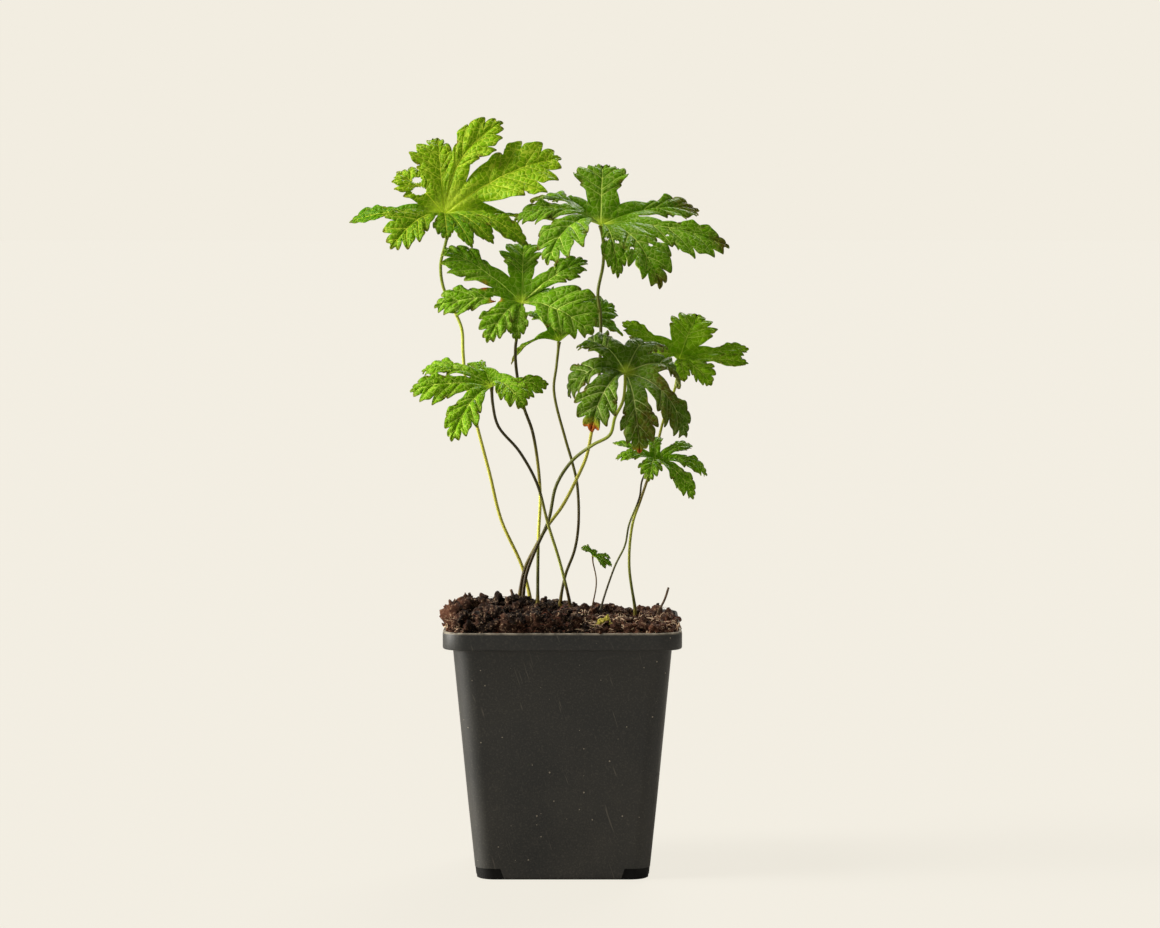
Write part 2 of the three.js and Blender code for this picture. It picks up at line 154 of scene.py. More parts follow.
def node(tree, kind, inputs=(), **settings):
    """Adds a shader node. inputs pairs a socket's name or number with a value or another socket."""
    made = tree.nodes.new(kind)
    for name, value in settings.items():
        setattr(made, name, value)
    for socket, value in dict(inputs).items():
        if isinstance(value, bpy.types.NodeSocket):
            tree.links.new(value, made.inputs[socket])
        else:
            made.inputs[socket].default_value = value
    return made


def unit(v):
    return v / np.linalg.norm(v, axis=-1, keepdims=True)


def smoothstep(x):
    x = np.clip(x, 0, 1)
    return x * x * (3 - 2 * x)


def deselect():
    if bpy.context.object and bpy.context.object.mode != "OBJECT":
        bpy.ops.object.mode_set(mode="OBJECT")
    bpy.ops.object.select_all(action="DESELECT")


def choose(*pieces):
    """Selects these pieces alone, the first of them active."""
    deselect()
    for piece in pieces:
        piece.select_set(True)
    bpy.context.view_layer.objects.active = pieces[0]


@contextlib.contextmanager
def editing(piece):
    """Edit mode on one piece, with all of it selected."""
    choose(piece)
    bpy.ops.object.mode_set(mode="EDIT")
    bpy.ops.mesh.select_all(action="SELECT")
    yield
    bpy.ops.object.mode_set(mode="OBJECT")


def face_outwards(piece):
    with editing(piece):
        bpy.ops.mesh.normals_make_consistent(inside=False)


def mesh_piece(name, points, faces):
    mesh = bpy.data.meshes.new(name)
    mesh.from_pydata(np.asarray(points, float).tolist(), [], [list(f) for f in faces])
    piece = bpy.data.objects.new(name, mesh)
    bpy.context.scene.collection.objects.link(piece)
    return piece


def positions(piece):
    co = np.empty(len(piece.data.vertices) * 3)
    piece.data.vertices.foreach_get("co", co)
    return co.reshape(-1, 3)


def place(piece, co):
    piece.data.vertices.foreach_set("co", np.asarray(co, float).ravel())
    piece.data.update()


def store(piece, name, values, kind="FLOAT"):
    layer = piece.data.attributes.new(name, kind, "POINT")
    layer.data.foreach_set("value" if kind == "FLOAT" else "vector", np.asarray(values, float).ravel())


def stored(piece, name):
    values = np.empty(len(piece.data.vertices))
    piece.data.attributes[name].data.foreach_get("value", values)
    return values


def apply_modifier(piece, kind, **settings):
    choose(piece)
    modifier = piece.modifiers.new(kind.title(), kind)
    for name, value in settings.items():
        setattr(modifier, name, value)
    bpy.ops.object.modifier_apply(modifier=modifier.name)


def carve(piece, tool):
    apply_modifier(piece, "BOOLEAN", object=tool, operation="DIFFERENCE", solver="EXACT")


def apply_place(piece):
    choose(piece)
    bpy.ops.object.transform_apply(location=True, rotation=True, scale=True)


def finish_piece(piece, replaces=(), angle=None):
    choose(piece)
    if angle is None:
        bpy.ops.object.shade_smooth()
    else:
        bpy.ops.object.shade_smooth_by_angle(angle=math.radians(angle))
    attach(piece, "root")
    if replaces:
        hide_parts(*replaces)
    deselect()


def soil_top(x, y):
    """Height of the compost in mm at a place in mm, without its crumbs."""
    s = bpy.context.scene.compost
    x, y = np.asarray(x, float), np.asarray(y, float)
    reach = (x ** 4 + y ** 4) ** 0.25 / HEAP_HALF
    heap = s.heap / MM - s.fall / MM * smoothstep((x + 5) / 35) - 1.5 * smoothstep(-y / 40)
    heap = heap - s.settled / MM * smoothstep((x + 22) / 14) * smoothstep((y + 22) / 26)
    lumps = 0.8 * np.sin(0.42 * x + 1.1) * np.sin(0.5 * y + 0.4) + 0.6 * np.sin(0.83 * x - 0.71 * y + 0.6)
    return s.level / MM + (heap + lumps) * (1 - np.minimum(reach, 1) ** 30)


# ---- the leaves, in mm ----------------------------------------------------------------------
# Each has its hub, the way its upper face looks, and its lobes anticlockwise. A lobe has its tip as seen
# from the hub, its half widths towards the lobe before and after it, how far it arches, and what sets
# it apart. The shade of a leaf or lobe darkens its green, and a shade below nought lightens it: partly
# the leaf's own tone, partly painted shade on lobes that face away from the light and painted light on
# parts that lie in another leaf's shadow. A stalk has its colours by the share of the way down, its route
# and its foot; its darker and lighter stretches are partly its own colour, partly painted shade and
# painted light.

LEAVES = {
    "leaf_top_left": {
        "slot": "young_leaf", "hub": (-45.5, 5, 251), "face": (0, -0.75, 0.65),
        "cut": 0.4, "web": 0.31, "blade": "young", "shade": 0.0,
        "lobes": [
            ((2, -20, -9.5), (5, 3), 4, {"shade": 0.55}),
            ((11.5, -22, -12.5), (2.6, 2.6), 5, {"shade": 0.65}),
            ((19.5, -16, -11), (3, 3.8), 6, {"shade": 0.45}),
            ((32.5, -13, -11.5), (4, 3.4), 8, {"shade": 0.35}),
            ((46.5, 7, -2.5), (3.4, 2), 1, {"roll": -40, "shade": 0.2}),
            ((45, 8, 22), (17, 12), 3, {"sway": 2, "full": 1.15, "cut": 0.55}),
            ((22.5, 10, 36), (9.4, 7.8), 3, {"sway": 5, "full": 0.75, "cut": 0.5}),
            ((-3, 13, 30), (5.2, 12), 3, {"full": 0.95, "cut": 0.5}),
            ((-18.5, 6, 16.5), (7, 8.5), 3, {"full": 1.3, "cut": 0.5}),
            ((-37, 8, -3), (3, 2), 4, {"shade": 0.7}),
            ((-20, -19, -13), (10, 9), 6.5, {"cut": 0.6, "shade": 0.35}),
        ],
        "radius": 0.85,
        "stalk": ((0, "8c9e2e"), (0.12, "76842a"), (0.3, "aab246"), (0.6, "aeac48"), (1, "a6a040")),
        "route": [(-44.5, 6, 243), (-47, 8, 232), (-46, 9, 223), (-42, 10, 214.5), (-39, 10, 207),
                  (-38.5, 10, 198), (-37.5, 11, 187), (-33, 13, 168.5), (-28.5, 15, 151),
                  (-24, 17, 132.5), (-16, 18, 114.5)],
        "foot": (-12.8, 18),
    },
    "leaf_top": {
        "slot": "leaf", "hub": (14.5, 5, 247), "face": (0, -0.3, 0.95),
        "cut": 0.5, "web": 0.3, "blade": "green", "shade": 0.08,
        "lobes": [
            ((6.5, -24, -20), (5, 4.5), 8), ((22.5, -25, -24), (10.5, 10), 8),
            ((49.5, -6, -8.5), (12, 3.5), 6, {"roll": 35}),
            ((38.5, 18, 5.5), (7.5, 5.5), 4.5, {"roll": 24}),
            ((1, 17, 23), (10.5, 11.5), 3, {"cut": 0.2, "full": 0.88}), ((-27, 22, 9), (5.5, 6), 5),
            ((-33.5, -3, 2), (4, 8), 7, {"roll": -25}), ((-20.5, -22, -15), (9, 14), 8.5),
        ],
        "radius": 0.85,
        "stalk": ((0, "76802a"), (0.22, "5c6220"), (0.32, "3c3e18"), (0.45, "76742c"), (0.52, "aaa63e"),
                  (0.75, "94923a"), (0.86, "5e5622"), (0.95, "3c2e14")),
        "route": [(15.5, 5.5, 241), (15.5, 6, 232), (13.5, 7, 221), (14.5, 7.5, 212), (14, 8, 189),
                  (11, 9, 167), (9, 10, 157.5), (5, 9, 148.5), (-0.3, 9, 138.5), (-5.8, 9, 131),
                  (-11, 9.5, 122), (-14.8, 11, 114)],
        "foot": (-17, 12),
    },
    "leaf_left": {
        "slot": "leaf", "hub": (-15.5, -10, 217.5), "face": (0, -0.75, 0.65),
        "cut": 0.5, "web": 0.31, "blade": "green", "shade": -0.08,
        "lobes": [
            ((27, -16, -11.5), (10, 13), 5.5, {"cut": 0.42, "full": 1.45, "shade": 0.16}),
            ((21.5, 6, 3.5), (4, 4), 3, {"roll": -45}), ((25, 5, 16.5), (7, 5), 3),
            ((0.5, 18, 23), (7.5, 9.5), 3), ((-30, 6, 21), (5, 11), 3), ((-33.5, -4, -1.5), (6, 8), 4),
            ((-13, -19, -14.5), (7.5, 6), 5), ((-2, -18, -14), (3.5, 4), 4),
        ],
        "radius": 0.8,
        "stalk": ((0, "5a5a20"), (0.12, "3c3616"), (0.42, "3c3618"), (0.58, "76702c"), (0.64, "c4c454"),
                  (0.76, "c4c454"), (0.84, "5e6228"), (1, "4a461e")),
        "route": [(-16.5, -9, 209), (-18, -7, 200.5), (-17.5, -3, 190), (-15, 1, 177.5), (-11.5, 4, 167),
                  (-8.8, 7, 145), (-9.6, 13, 124)],
        "foot": (-9.8, 12),
    },
    "leaf_centre_back": {
        "slot": "dark_leaf", "hub": (-1.5, 15, 202), "face": (0, -0.2, 0.98),
        "cut": 0.45, "web": 0.24, "blade": "green", "shade": 0.1,
        "lobes": [
            ((25, 7, 2), (4, 3), 8, {"roll": 25}), ((21.5, 12, 14), (8, 7), 4, {"roll": 40}),
            ((3, 20, 11), (7, 7), 4), ((-15, 13, 9), (6, 6), 5),
            ((-18.5, -8, -8.5), (0.95, 0.75), 5, {"cut": 0.1, "shade": -0.5}),
        ],
        "radius": 0.75,
        "stalk": ((0, "6e7028"), (0.3, "5c5a24"), (0.5, "4c4a1e"), (0.68, "3e3418"), (0.85, "4c4820"),
                  (1, "4a401c")),
        "route": [(-2.5, 15, 192.5), (-3.5, 15, 183), (1, 16, 164), (3.5, 16, 155.5), (5.5, 16, 146.5),
                  (6, 15, 131), (4.5, 15, 121), (1, 14, 111.5)],
        "foot": (-1, 14),
    },
    "leaf_low_left": {
        "slot": "leaf", "hub": (-27, -15, 186), "face": (0, -0.6, 0.8),
        "cut": 0.5, "web": 0.27, "blade": "bright", "shade": 0.12,
        "lobes": [
            ((13, -18, -8), (7, 6), 5.5), ((22, -2, 1), (6, 2.5), 4, {"roll": 35}),
            ((-7, 14, 8.5), (2.5, 5), 3), ((-27, 8, 5.5), (4, 6), 5),
            ((-31, -4, -1.5), (4, 9), 4, {"roll": -20}), ((-15, -17, -20), (6, 8), 5.5),
        ],
        "radius": 0.75,
        "stalk": ((0, "4a4420"), (0.1, "3a3420"), (0.48, "38341c"), (0.6, "828438"), (0.82, "949c4a"),
                  (0.9, "4a3c1c"), (1, "3a2c16")),
        "route": [(-26.5, -14, 179), (-24.5, -10, 170.5), (-16.5, -5, 160.5), (-9.8, -3, 148),
                  (-5.7, -1, 132.5), (-1, 2, 117)],
        "foot": (3, 6),
    },
    "leaf_low_right": {
        "slot": "dark_leaf", "hub": (24, -15, 191), "face": (0, -0.6, 0.8),
        "cut": 0.45, "web": 0.36, "blade": "dark", "shade": 0.2,
        "lobes": [
            ((5, -17, -29.5), (6.5, 8), 8.5), ((23, -8, -24), (10, 4.5), 9), ((20.5, 10, -6), (7, 7), 8),
            ((9.5, 20, 7), (9, 7), 7.5), ((-16.5, 12, 10.5), (8, 8), 6), ((-22, 0, -9), (7.5, 8.5), 8),
            ((-13.5, -17, -21.5), (9.5, 8.5), 8.5),
        ],
        "radius": 0.85,
        "stalk": ((0, "94a02c"), (0.2, "8c982e"), (0.34, "727a2e"), (0.45, "54581f"), (0.68, "484822"),
                  (0.8, "3a3018"), (1, "362812")),
        "route": [(23, -12, 180.5), (20, -9, 174), (18, -6, 167), (11.5, -3, 163), (3.5, 2, 156.5),
                  (-2.5, 4, 147), (-5.5, 5, 133.5), (-10.8, 5, 121.5), (-14.2, 5, 112)],
        "foot": (-15.5, 5),
    },
    "leaf_far_right": {
        "slot": "leaf", "hub": (45, 20, 194.5), "face": (0, -0.8, 0.6),
        "cut": 0.4, "web": 0.34, "blade": "bright", "shade": -0.2,
        "lobes": [
            ((2, -9, -8), (5, 3.5), 4), ((12.5, -8, -9.5), (4.5, 6), 4), ((27, -4, -1), (2.5, 2.5), 2),
            ((27.5, 4, 4.5), (4.5, 2.2), 2), ((7.5, 8, 17.8), (10.5, 9), 2, {"full": 1.35}),
            ((-22, 4, 15), (2.5, 5), 2), ((-12, -4, 1), (4, 4), 4),
        ],
        "radius": 0.7,
        "stalk": ((0, "98a42c"), (0.3, "8a8c2c"), (0.45, "6a5c2a"), (0.56, "6e6428"), (0.62, "a4a83c"),
                  (0.78, "8c903a"), (0.9, "6a7030"), (1, "4c5026")),
        "route": [(43.5, 18, 184), (39, 16, 171.5), (36.5, 14, 162), (33, 13, 149.5), (30, 13, 140.5),
                  (27, 13, 131.5), (25.7, 14, 115)],
        "foot": (28, 15),
    },
    "leaf_small": {
        "slot": "dark_leaf", "hub": (35.5, -5, 156), "face": (0, -0.6, 0.8),
        "cut": 0.5, "web": 0.26, "blade": "green", "shade": -0.1,
        "lobes": [
            ((-3, -14, -6), (5, 4.5), 4.5), ((14.5, -11, -13), (5, 3.5), 5.5),
            ((20, -2, -4.5), (4.5, 3.5), 5), ((14.5, 6, 6.5), (3, 3), 3),
            ((-0.5, 11, 9.5), (3.5, 3.5), 3), ((-16.5, 8, 7.5), (1.2, 1.2), 2.5),
            ((-15.5, -2, 2), (2.5, 4), 3.5),
        ],
        "radius": 0.5,
        "stalk": ((0, "6e6c2c"), (0.14, "3a3418"), (0.28, "2e2812"), (0.34, "7a8038"), (0.46, "4a4c26"),
                  (0.6, "6a7038"), (0.75, "504c30"), (1, "565040")),
        "route": [(33.5, -4, 155), (30.5, -2, 149.5), (29.5, 2, 142.5), (25.5, 6, 131.5), (24, 8, 123.5),
                  (20, 9, 115)],
        "foot": (14.5, 10),
    },
    "leaf_seedling": {
        "slot": "dark_leaf", "hub": (11.5, 0, 120), "face": (0.3, -0.5, 0.8),
        "cut": 0.4, "web": 0.3, "blade": "green", "shade": 0.15,
        "lobes": [
            ((5, -3, -4.5), (1.6, 1.5), 1), ((7.5, 0, -4), (1.7, 1.7), 1), ((7, 2, -1), (1.5, 1.6), 1),
            ((1, 2, 2.5), (1.4, 1.4), 0.5), ((-4.5, 0, 3.5), (2.8, 2.5), 1),
        ],
        "radius": 0.35,
        "stalk": ((0, "7d6a4a"), (1, "6a5238")),
        "route": [(11.6, 2, 117.5), (12.8, 4, 111.5), (12.8, 5, 107.5)],
        "foot": (11.2, 6),
    },
}

STUBS = {
    "stub_left": {"radius": 0.7, "route": [(-20, 1, 107), (-19, 1.5, 104)], "foot": (-18.5, 2)},
    "stub_right": {"radius": 0.6, "route": [(41, 14, 106.5), (39.5, 13, 102)], "foot": (37, 12)},
}

# dried and browned patches: centre and reach in mm
DRY = {
    "leaf_left": [((-30, -13.4, 224.2), 1.8), ((-25.2, -17.5, 218.6), 2.5)],
    "leaf_low_right": [((10.3, -33, 168.5), 5.0), ((28.5, -31, 161.5), 3.2), ((33, -30.5, 181.5), 1.4)],
}

# parts of a blade tinged purple brown by cold nights: centre and reach in mm
BLUSH = {
    "leaf_low_right": [((34, -28, 172), 8), ((42, -20, 187), 8), ((45, -8, 182), 6)],
    "leaf_top": [((50, 22, 254), 9), ((63, -1, 240), 6), ((38, -19, 225), 5), ((-12, 24, 257), 6)],
    "leaf_centre_back": [((-20, 7, 193.5), 10)],
}

# holes eaten through a blade, seen from the front: centre X, Z and half sizes in mm
HOLES = {
    "leaf_top_left": [(-56, 264.3, 1.9, 1.2), (-55.2, 260.1, 2.7, 1.6)],
    "leaf_top": [(16.6, 242, 1.0, 0.6), (20.4, 240.8, 0.8, 0.5), (26.2, 238.5, 0.9, 0.6),
                 (33.4, 239.6, 0.7, 0.5), (40, 243.2, 0.7, 0.4)],
    "leaf_left": [(-25.2, 219.3, 2.0, 0.9)],
}


# ---- blades ---------------------------------------------------------------------------------

def margin(cut, full):
    """Tooth tips and notches: rib place, then margin point along the lobe and across in half widths."""
    return [(0.08, 0.27, 0.62 * full),
            (0.14, 0.42, 0.40 + 0.40 * full), (0.22, 0.42, 0.40 + 0.40 * full - 0.50 * cut),
            (0.30, 0.68, 1.00), (0.46, 0.54, 1.00 - 1.25 * cut),
            (0.58, 0.87, 0.70), (0.72, 0.76, 0.70 - 0.95 * cut),
            (0.82, 0.96, 0.34), (0.90, 0.915, 0.34 - 0.42 * cut),
            (1.0, 1.0, 0.0)]


# how each stretch of the margin swells outwards, and whether it carries a small tooth of its own
SWELL = (0.08, 0.14, 0.05, 0.22, 0.04, 0.24, 0.05, 0.24, 0.05, 0.26)
SMALL_TEETH = {3: 0.085, 5: 0.07}
TOOTH_ROWS = (2, 4, 6, 8)


class Lobe:
    """An arched midrib from the hub to the tip of a lobe, with a half width on each side."""

    def __init__(self, leaf, tip, widths, bow, extra=None):
        extra = extra or {}
        roll, sway = math.radians(extra.get("roll", 0)), extra.get("sway", 0)
        self.hub, self.tip = np.array(leaf["hub"], float), np.array(tip, float)
        self.widths, self.cut = widths, extra.get("cut", leaf["cut"])
        self.full, self.shade = extra.get("full", 1.0), leaf["shade"] + extra.get("shade", 0.0)
        self.web = leaf["web"]
        along = unit(self.tip)
        face = unit(np.array(leaf["face"], float))
        up = unit(face - along * face.dot(along))
        self.up = up * math.cos(roll) + np.cross(along, up) * math.sin(roll)
        across = np.cross(self.up, along)
        self.control = self.tip / 2 + self.up * 2 * bow + across * 2 * sway
        self.length = np.linalg.norm(self.tip)

    def midrib(self, t):
        t = np.asarray(t, float)[..., None]
        return self.hub + 2 * t * (1 - t) * self.control + t * t * self.tip

    def beside(self, t, distance):
        """Points beside the midrib, positive towards the next lobe."""
        t, distance = np.asarray(t, float)[..., None], np.asarray(distance, float)[..., None]
        fold = bpy.context.scene.leaf.fold
        tangent = unit(self.control * (1 - 2 * t) + self.tip * t)
        normal = unit(self.up - tangent * (tangent @ self.up)[..., None])
        across = np.cross(normal, tangent)
        lift = normal * abs(distance) * math.sin(fold)
        return self.midrib(t[..., 0]) + across * distance * math.cos(fold) + lift


def margin_steps(lobe, cell):
    """Steps of each stretch of the margin, alike on both sides, so that the halves meet on the midrib."""
    rows = np.array([(0.0, 0.0, 0.5)] + margin(lobe.cut, lobe.full))[:, 1:]
    chords = np.diff(rows * (lobe.length * (1 - lobe.web), max(lobe.widths)), axis=0)
    return [max(2, math.ceil(np.linalg.norm(chord) / cell)) for chord in chords]


def fine_margin(lobe, width, start, cell):
    """The margin of one side of a lobe at close steps: rib place, along, across, and row number."""
    rows = [(0.0, 0.0, start / width)] + margin(lobe.cut, lobe.full)
    scale = np.array([lobe.length * (1 - lobe.web), width])
    made = []
    for k, (a, b, count) in enumerate(zip(rows, rows[1:], margin_steps(lobe, cell))):
        p, q = np.array(a[1:]) * scale, np.array(b[1:]) * scale
        chord = np.linalg.norm(q - p)
        outward = np.array([-(q - p)[1], (q - p)[0]])
        s = np.arange(count) / count
        line = p + (q - p) * s[:, None] + outward * (4 * SWELL[k] * s * (1 - s))[:, None]
        if k in SMALL_TEETH and chord > 4:
            tooth = np.interp(s, [0, 0.28, 0.6, 0.68, 1], [0, 0, 1, -0.35, 0]) * SMALL_TEETH[k]
            line += outward * tooth[:, None]
        rib = a[0] + (b[0] - a[0]) * s
        made.append(np.column_stack([rib, line / scale, k + s]))
    made.append(np.array([[1.0, 1.0, 0.0, len(rows) - 1]]))
    made = np.vstack(made)
    for _ in range(2):
        made[1:-1, 1:3] = (made[:-2, 1:3] + 2 * made[1:-1, 1:3] + made[2:, 1:3]) / 4
    return made


def segment_distance(x, y, ax, ay, bx, by):
    """Distance of points from a segment, and the share of the way along it where they are nearest."""
    dx, dy = bx - ax, by - ay
    share = np.clip(((x - ax) * dx + (y - ay) * dy) / (dx ** 2 + dy ** 2), 0, 1)
    return np.hypot(x - ax - share * dx, y - ay - share * dy), share


def half_lobe(lobe, side, slit, arch, cell, web_rows, draw):
    """Grid of points of one side of a lobe, rows from the hub to the tip and columns from the midrib
    to the margin, with what the finish needs to know about each point."""
    web = lobe.web
    width = lobe.widths[1] if side > 0 else lobe.widths[0]
    base = lobe.midrib(web)
    start = slit if slit is not None else lobe.beside(web, side * 0.35 * width)
    offset = np.linalg.norm(start - base)
    shift = start - lobe.beside(web, side * offset)
    columns = max(5, math.ceil(max(width, offset) / cell)) + 1
    f = np.linspace(0, 1, columns)

    # from the hub to the bottom of the slit
    s = np.arange(web_rows) / web_rows
    rib = lobe.midrib(web * s)
    line = lobe.hub + (start - lobe.hub) * s[:, None] + arch * (s * (1 - s))[:, None]
    joined = rib[:, None] + (line - rib)[:, None] * f[None, :, None]
    x0 = (s - 1)[:, None] * web * lobe.length + 0 * f
    y0 = s[:, None] * offset * f

    # beyond it
    m, x, y, row = fine_margin(lobe, width, offset, cell).T
    X = m[:, None] + (x - m)[:, None] * f
    Y = y[:, None] * f
    free = lobe.beside(web + (1 - web) * X, side * Y * width)
    free += shift * (np.maximum(0, 1 - 2 * X) ** 2 * f)[..., None]

    grid = np.vstack([joined, free])
    reach = lobe.length * (1 - web)
    px, py = np.vstack([x0, X * reach]), np.vstack([y0, Y * width])
    edge = np.hypot(px - np.concatenate([x0[:, -1], x * reach])[:, None],
                    py - np.concatenate([y0[:, -1], y * width])[:, None])
    if slit is not None:
        edge[:web_rows] = FAR
    spine = py.copy()
    branch = np.full(px.shape, FAR)
    share = np.zeros(px.shape)
    rows = [(0.0, 0.0, offset / width)] + margin(lobe.cut, lobe.full)
    for k in TOOTH_ROWS:
        rm, rx, ry = rows[k]
        d, along = segment_distance(px, py, rm * reach, 0, rx * reach, ry * width)
        share = np.where(d < branch, along, share)
        branch = np.minimum(branch, d)
    travel = np.clip((px / reach * (1 - web) + web), 0, 1)

    # how near a point is to the tip of a tooth
    tips = np.full(px.shape, FAR)
    for k in TOOTH_ROWS + (10,):
        tips = np.minimum(tips, np.hypot(px - rows[k][1] * reach, py - rows[k][2] * width))
    # the blade rises between its veins, and its margin waves a little
    swell = np.sin(np.pi * np.clip(f, 0, 1))[None, :] * smoothstep(travel * 3) * min(1.0, width / 8)
    wave = np.sin(row * 1.9 + draw * 6)[:, None] * f ** 2 * 0.35 * min(1, width / 6)
    wave = np.vstack([np.zeros(x0.shape), wave])
    depth = swell * 0.55 + wave - 0.7 * np.exp(-(tips / 2.0) ** 2) * min(1.0, width / 5)
    return grid, {"spine": spine, "branch": branch, "edge": edge, "travel": travel, "tips": tips,
                  "depth": depth, "share": share, "width": np.full(px.shape, float(width)),
                  "shade": np.full(px.shape, lobe.shade)}


def grid_faces(rows, columns, first, side):
    r, c = np.meshgrid(np.arange(rows - 1), np.arange(columns - 1), indexing="ij")
    a = first + (r * columns + c).ravel()
    b, d, e = a + 1, a + columns, a + columns + 1
    return np.column_stack([a, d, e, b] if side > 0 else [a, b, e, d])


def blade_sheet(leaf, cell, rng):
    """The blade as one sheet, its upper face outwards."""
    lobes = [Lobe(leaf, *shape) for shape in leaf["lobes"]]
    hub = np.array(leaf["hub"], float)
    reach = [l.midrib(l.web) - hub for l in lobes]
    arches = [4 * (l.midrib(l.web / 2) - hub - r / 2) for l, r in zip(lobes, reach)]
    slits, ridges = [], []
    for i in range(len(lobes) - 1):
        a, b = reach[i], reach[i + 1]
        slits.append(hub + unit(a + b) * (np.linalg.norm(a) + np.linalg.norm(b)) / 2)
        ridges.append((arches[i] + arches[i + 1]) / 2)
    web_rows = max(5, math.ceil(max(np.linalg.norm(r) for r in reach) / cell))
    points, faces, facts, first = [], [], {}, 0
    for i, l in enumerate(lobes):
        draw = rng.random()
        for side in (1, -1):
            j = i if side > 0 else i - 1
            shared = 0 <= j < len(slits)
            slit, arch = (slits[j], ridges[j]) if shared else (None, arches[i])
            grid, about = half_lobe(l, side, slit, arch, cell, web_rows, draw)
            faces.append(grid_faces(*grid.shape[:2], first, side))
            points.append(grid.reshape(-1, 3))
            for name, values in about.items():
                facts.setdefault(name, []).append(values.ravel())
            first += grid.shape[0] * grid.shape[1]
    return np.vstack(points), np.vstack(faces), {k: np.concatenate(v) for k, v in facts.items()}


def relax(co, edges, free, rounds):
    """Evens a sheet out, the more the larger free is at a point."""
    count = np.bincount(edges.ravel(), minlength=len(co))[:, None]
    for _ in range(rounds):
        total = np.zeros_like(co)
        for axis in range(3):
            total[:, axis] = (np.bincount(edges[:, 0], co[edges[:, 1], axis], len(co))
                              + np.bincount(edges[:, 1], co[edges[:, 0], axis], len(co)))
        co = co + free[:, None] * 0.5 * (total / np.maximum(count, 1) - co)
    return co


def nearness(spots, co):
    """How near each point is to the nearest of some spots: 1 at a spot, 0 beyond its reach."""
    near = np.zeros(len(co))
    for centre, size in spots:
        near = np.maximum(near, 1 - np.linalg.norm(co - np.array(centre), axis=1) / (1.6 * size))
    return near


def make_blade(name, leaf, materials):
    s = bpy.context.scene.leaf
    rng = random.Random(name)
    small = max(l[0][0] ** 2 + l[0][1] ** 2 + l[0][2] ** 2 for l in leaf["lobes"]) ** 0.5
    cell = s.cell / MM * min(1.0, max(0.4, small / 30))
    points, faces, facts = blade_sheet(leaf, cell, rng)
    piece = mesh_piece(name, points, faces)
    for key, values in facts.items():
        store(piece, key, values)
    with editing(piece):
        bpy.ops.mesh.remove_doubles(threshold=SEAM)
        bpy.ops.mesh.dissolve_degenerate(threshold=SLIVER)

    # even out the creases where lobes meet, but keep the margin
    co = positions(piece)
    edges = np.array([e.vertices for e in piece.data.edges])
    uses = np.zeros(len(edges), int)
    place_of = {tuple(sorted(e.vertices)): e.index for e in piece.data.edges}
    for polygon in piece.data.polygons:
        for key in polygon.edge_keys:
            uses[place_of[tuple(sorted(key))]] += 1
    rim = np.zeros(len(co), bool)
    rim[edges[uses == 1].ravel()] = True
    travel = stored(piece, "travel")
    free = np.where(rim, 0, np.interp(travel, [0, 0.3, 0.6], [1, 0.8, 0.3]))
    place(piece, relax(co, edges, free, EVEN_ROUNDS))

    # veins lie sunk in the upper face and the blade swells between them
    normals = np.empty(len(co) * 3)
    piece.data.vertices.foreach_get("normal", normals)
    spine, branch, width = stored(piece, "spine"), stored(piece, "branch"), stored(piece, "width")
    scale = np.clip(width / 7, 0.25, 1)
    groove = s.groove / MM * scale
    calm = 0.55 if leaf["blade"] == "young" else 1.0
    depth = stored(piece, "depth")
    main = np.interp(travel, [0, 0.12, 1], [0.2, 1, 0.5])
    depth -= groove * np.exp(-(spine / (0.6 * scale)) ** 2) * main
    depth -= 0.7 * groove * np.exp(-(branch / (0.5 * scale)) ** 2)
    between = 1 - np.exp(-np.minimum(spine, branch) / (1.5 * scale))
    depth += calm * s.quilt / MM * scale * between * smoothstep(travel * 3)
    co = positions(piece)
    rough = np.array([noise.noise(Vector(p) / 7.0) for p in co]) * 0.55 * scale * smoothstep(travel * 2)
    place(piece, co + normals.reshape(-1, 3) * (depth + rough)[:, None])

    # what the finish reads: vein distances and margin, then travel, dryness and shade
    co = positions(piece)
    dry, blush = nearness(DRY.get(name, ()), co), nearness(BLUSH.get(name, ()), co)
    tips, edge = stored(piece, "tips"), stored(piece, "edge")
    for layer, columns in (("veins", (spine / scale, branch / scale, edge)),
                           ("tone", (travel, dry, stored(piece, "shade"))),
                           ("rim", (tips / scale ** 0.8, stored(piece, "share"), blush))):
        store(piece, layer, np.column_stack(columns), "FLOAT_VECTOR")
    for key in list(facts):
        piece.data.attributes.remove(piece.data.attributes[key])

    pierce(piece, name)
    place(piece, positions(piece) * MM)
    net = bpy.data.textures.get("vein net") or bpy.data.textures.new("vein net", "VORONOI")
    net.distance_metric, net.weight_1, net.weight_2 = "DISTANCE", -1.0, 1.0
    net.noise_scale = s.net
    apply_modifier(piece, "DISPLACE", texture=net, texture_coords="LOCAL",
                   strength=0.22 * MM * scale.mean(), mid_level=0.4)
    for material in materials:
        piece.data.materials.append(material)
    thickness = s.thickness * float(np.clip(small / 30, 0.5, 1))
    apply_modifier(piece, "SOLIDIFY", thickness=thickness, offset=0, material_offset=1,
                   material_offset_rim=1, use_quality_normals=True)
    return piece


def pierce(piece, name):
    """Opens the eaten holes of a blade."""
    holes = HOLES.get(name)
    if not holes:
        return
    choose(piece)
    bpy.ops.object.mode_set(mode="EDIT")
    bpy.ops.mesh.select_mode(type="FACE")
    bpy.ops.mesh.select_all(action="DESELECT")
    bpy.ops.object.mode_set(mode="OBJECT")
    for polygon in piece.data.polygons:
        x, y, z = polygon.center
        polygon.select = any(((x - hx) / rx) ** 2 + ((z - hz) / rz) ** 2 < 1 for hx, hz, rx, rz in holes)
    bpy.ops.object.mode_set(mode="EDIT")
    bpy.ops.mesh.delete(type="FACE")
    bpy.ops.mesh.select_mode(type="VERT")
    bpy.ops.object.mode_set(mode="OBJECT")


# ---- stalks ---------------------------------------------------------------------------------

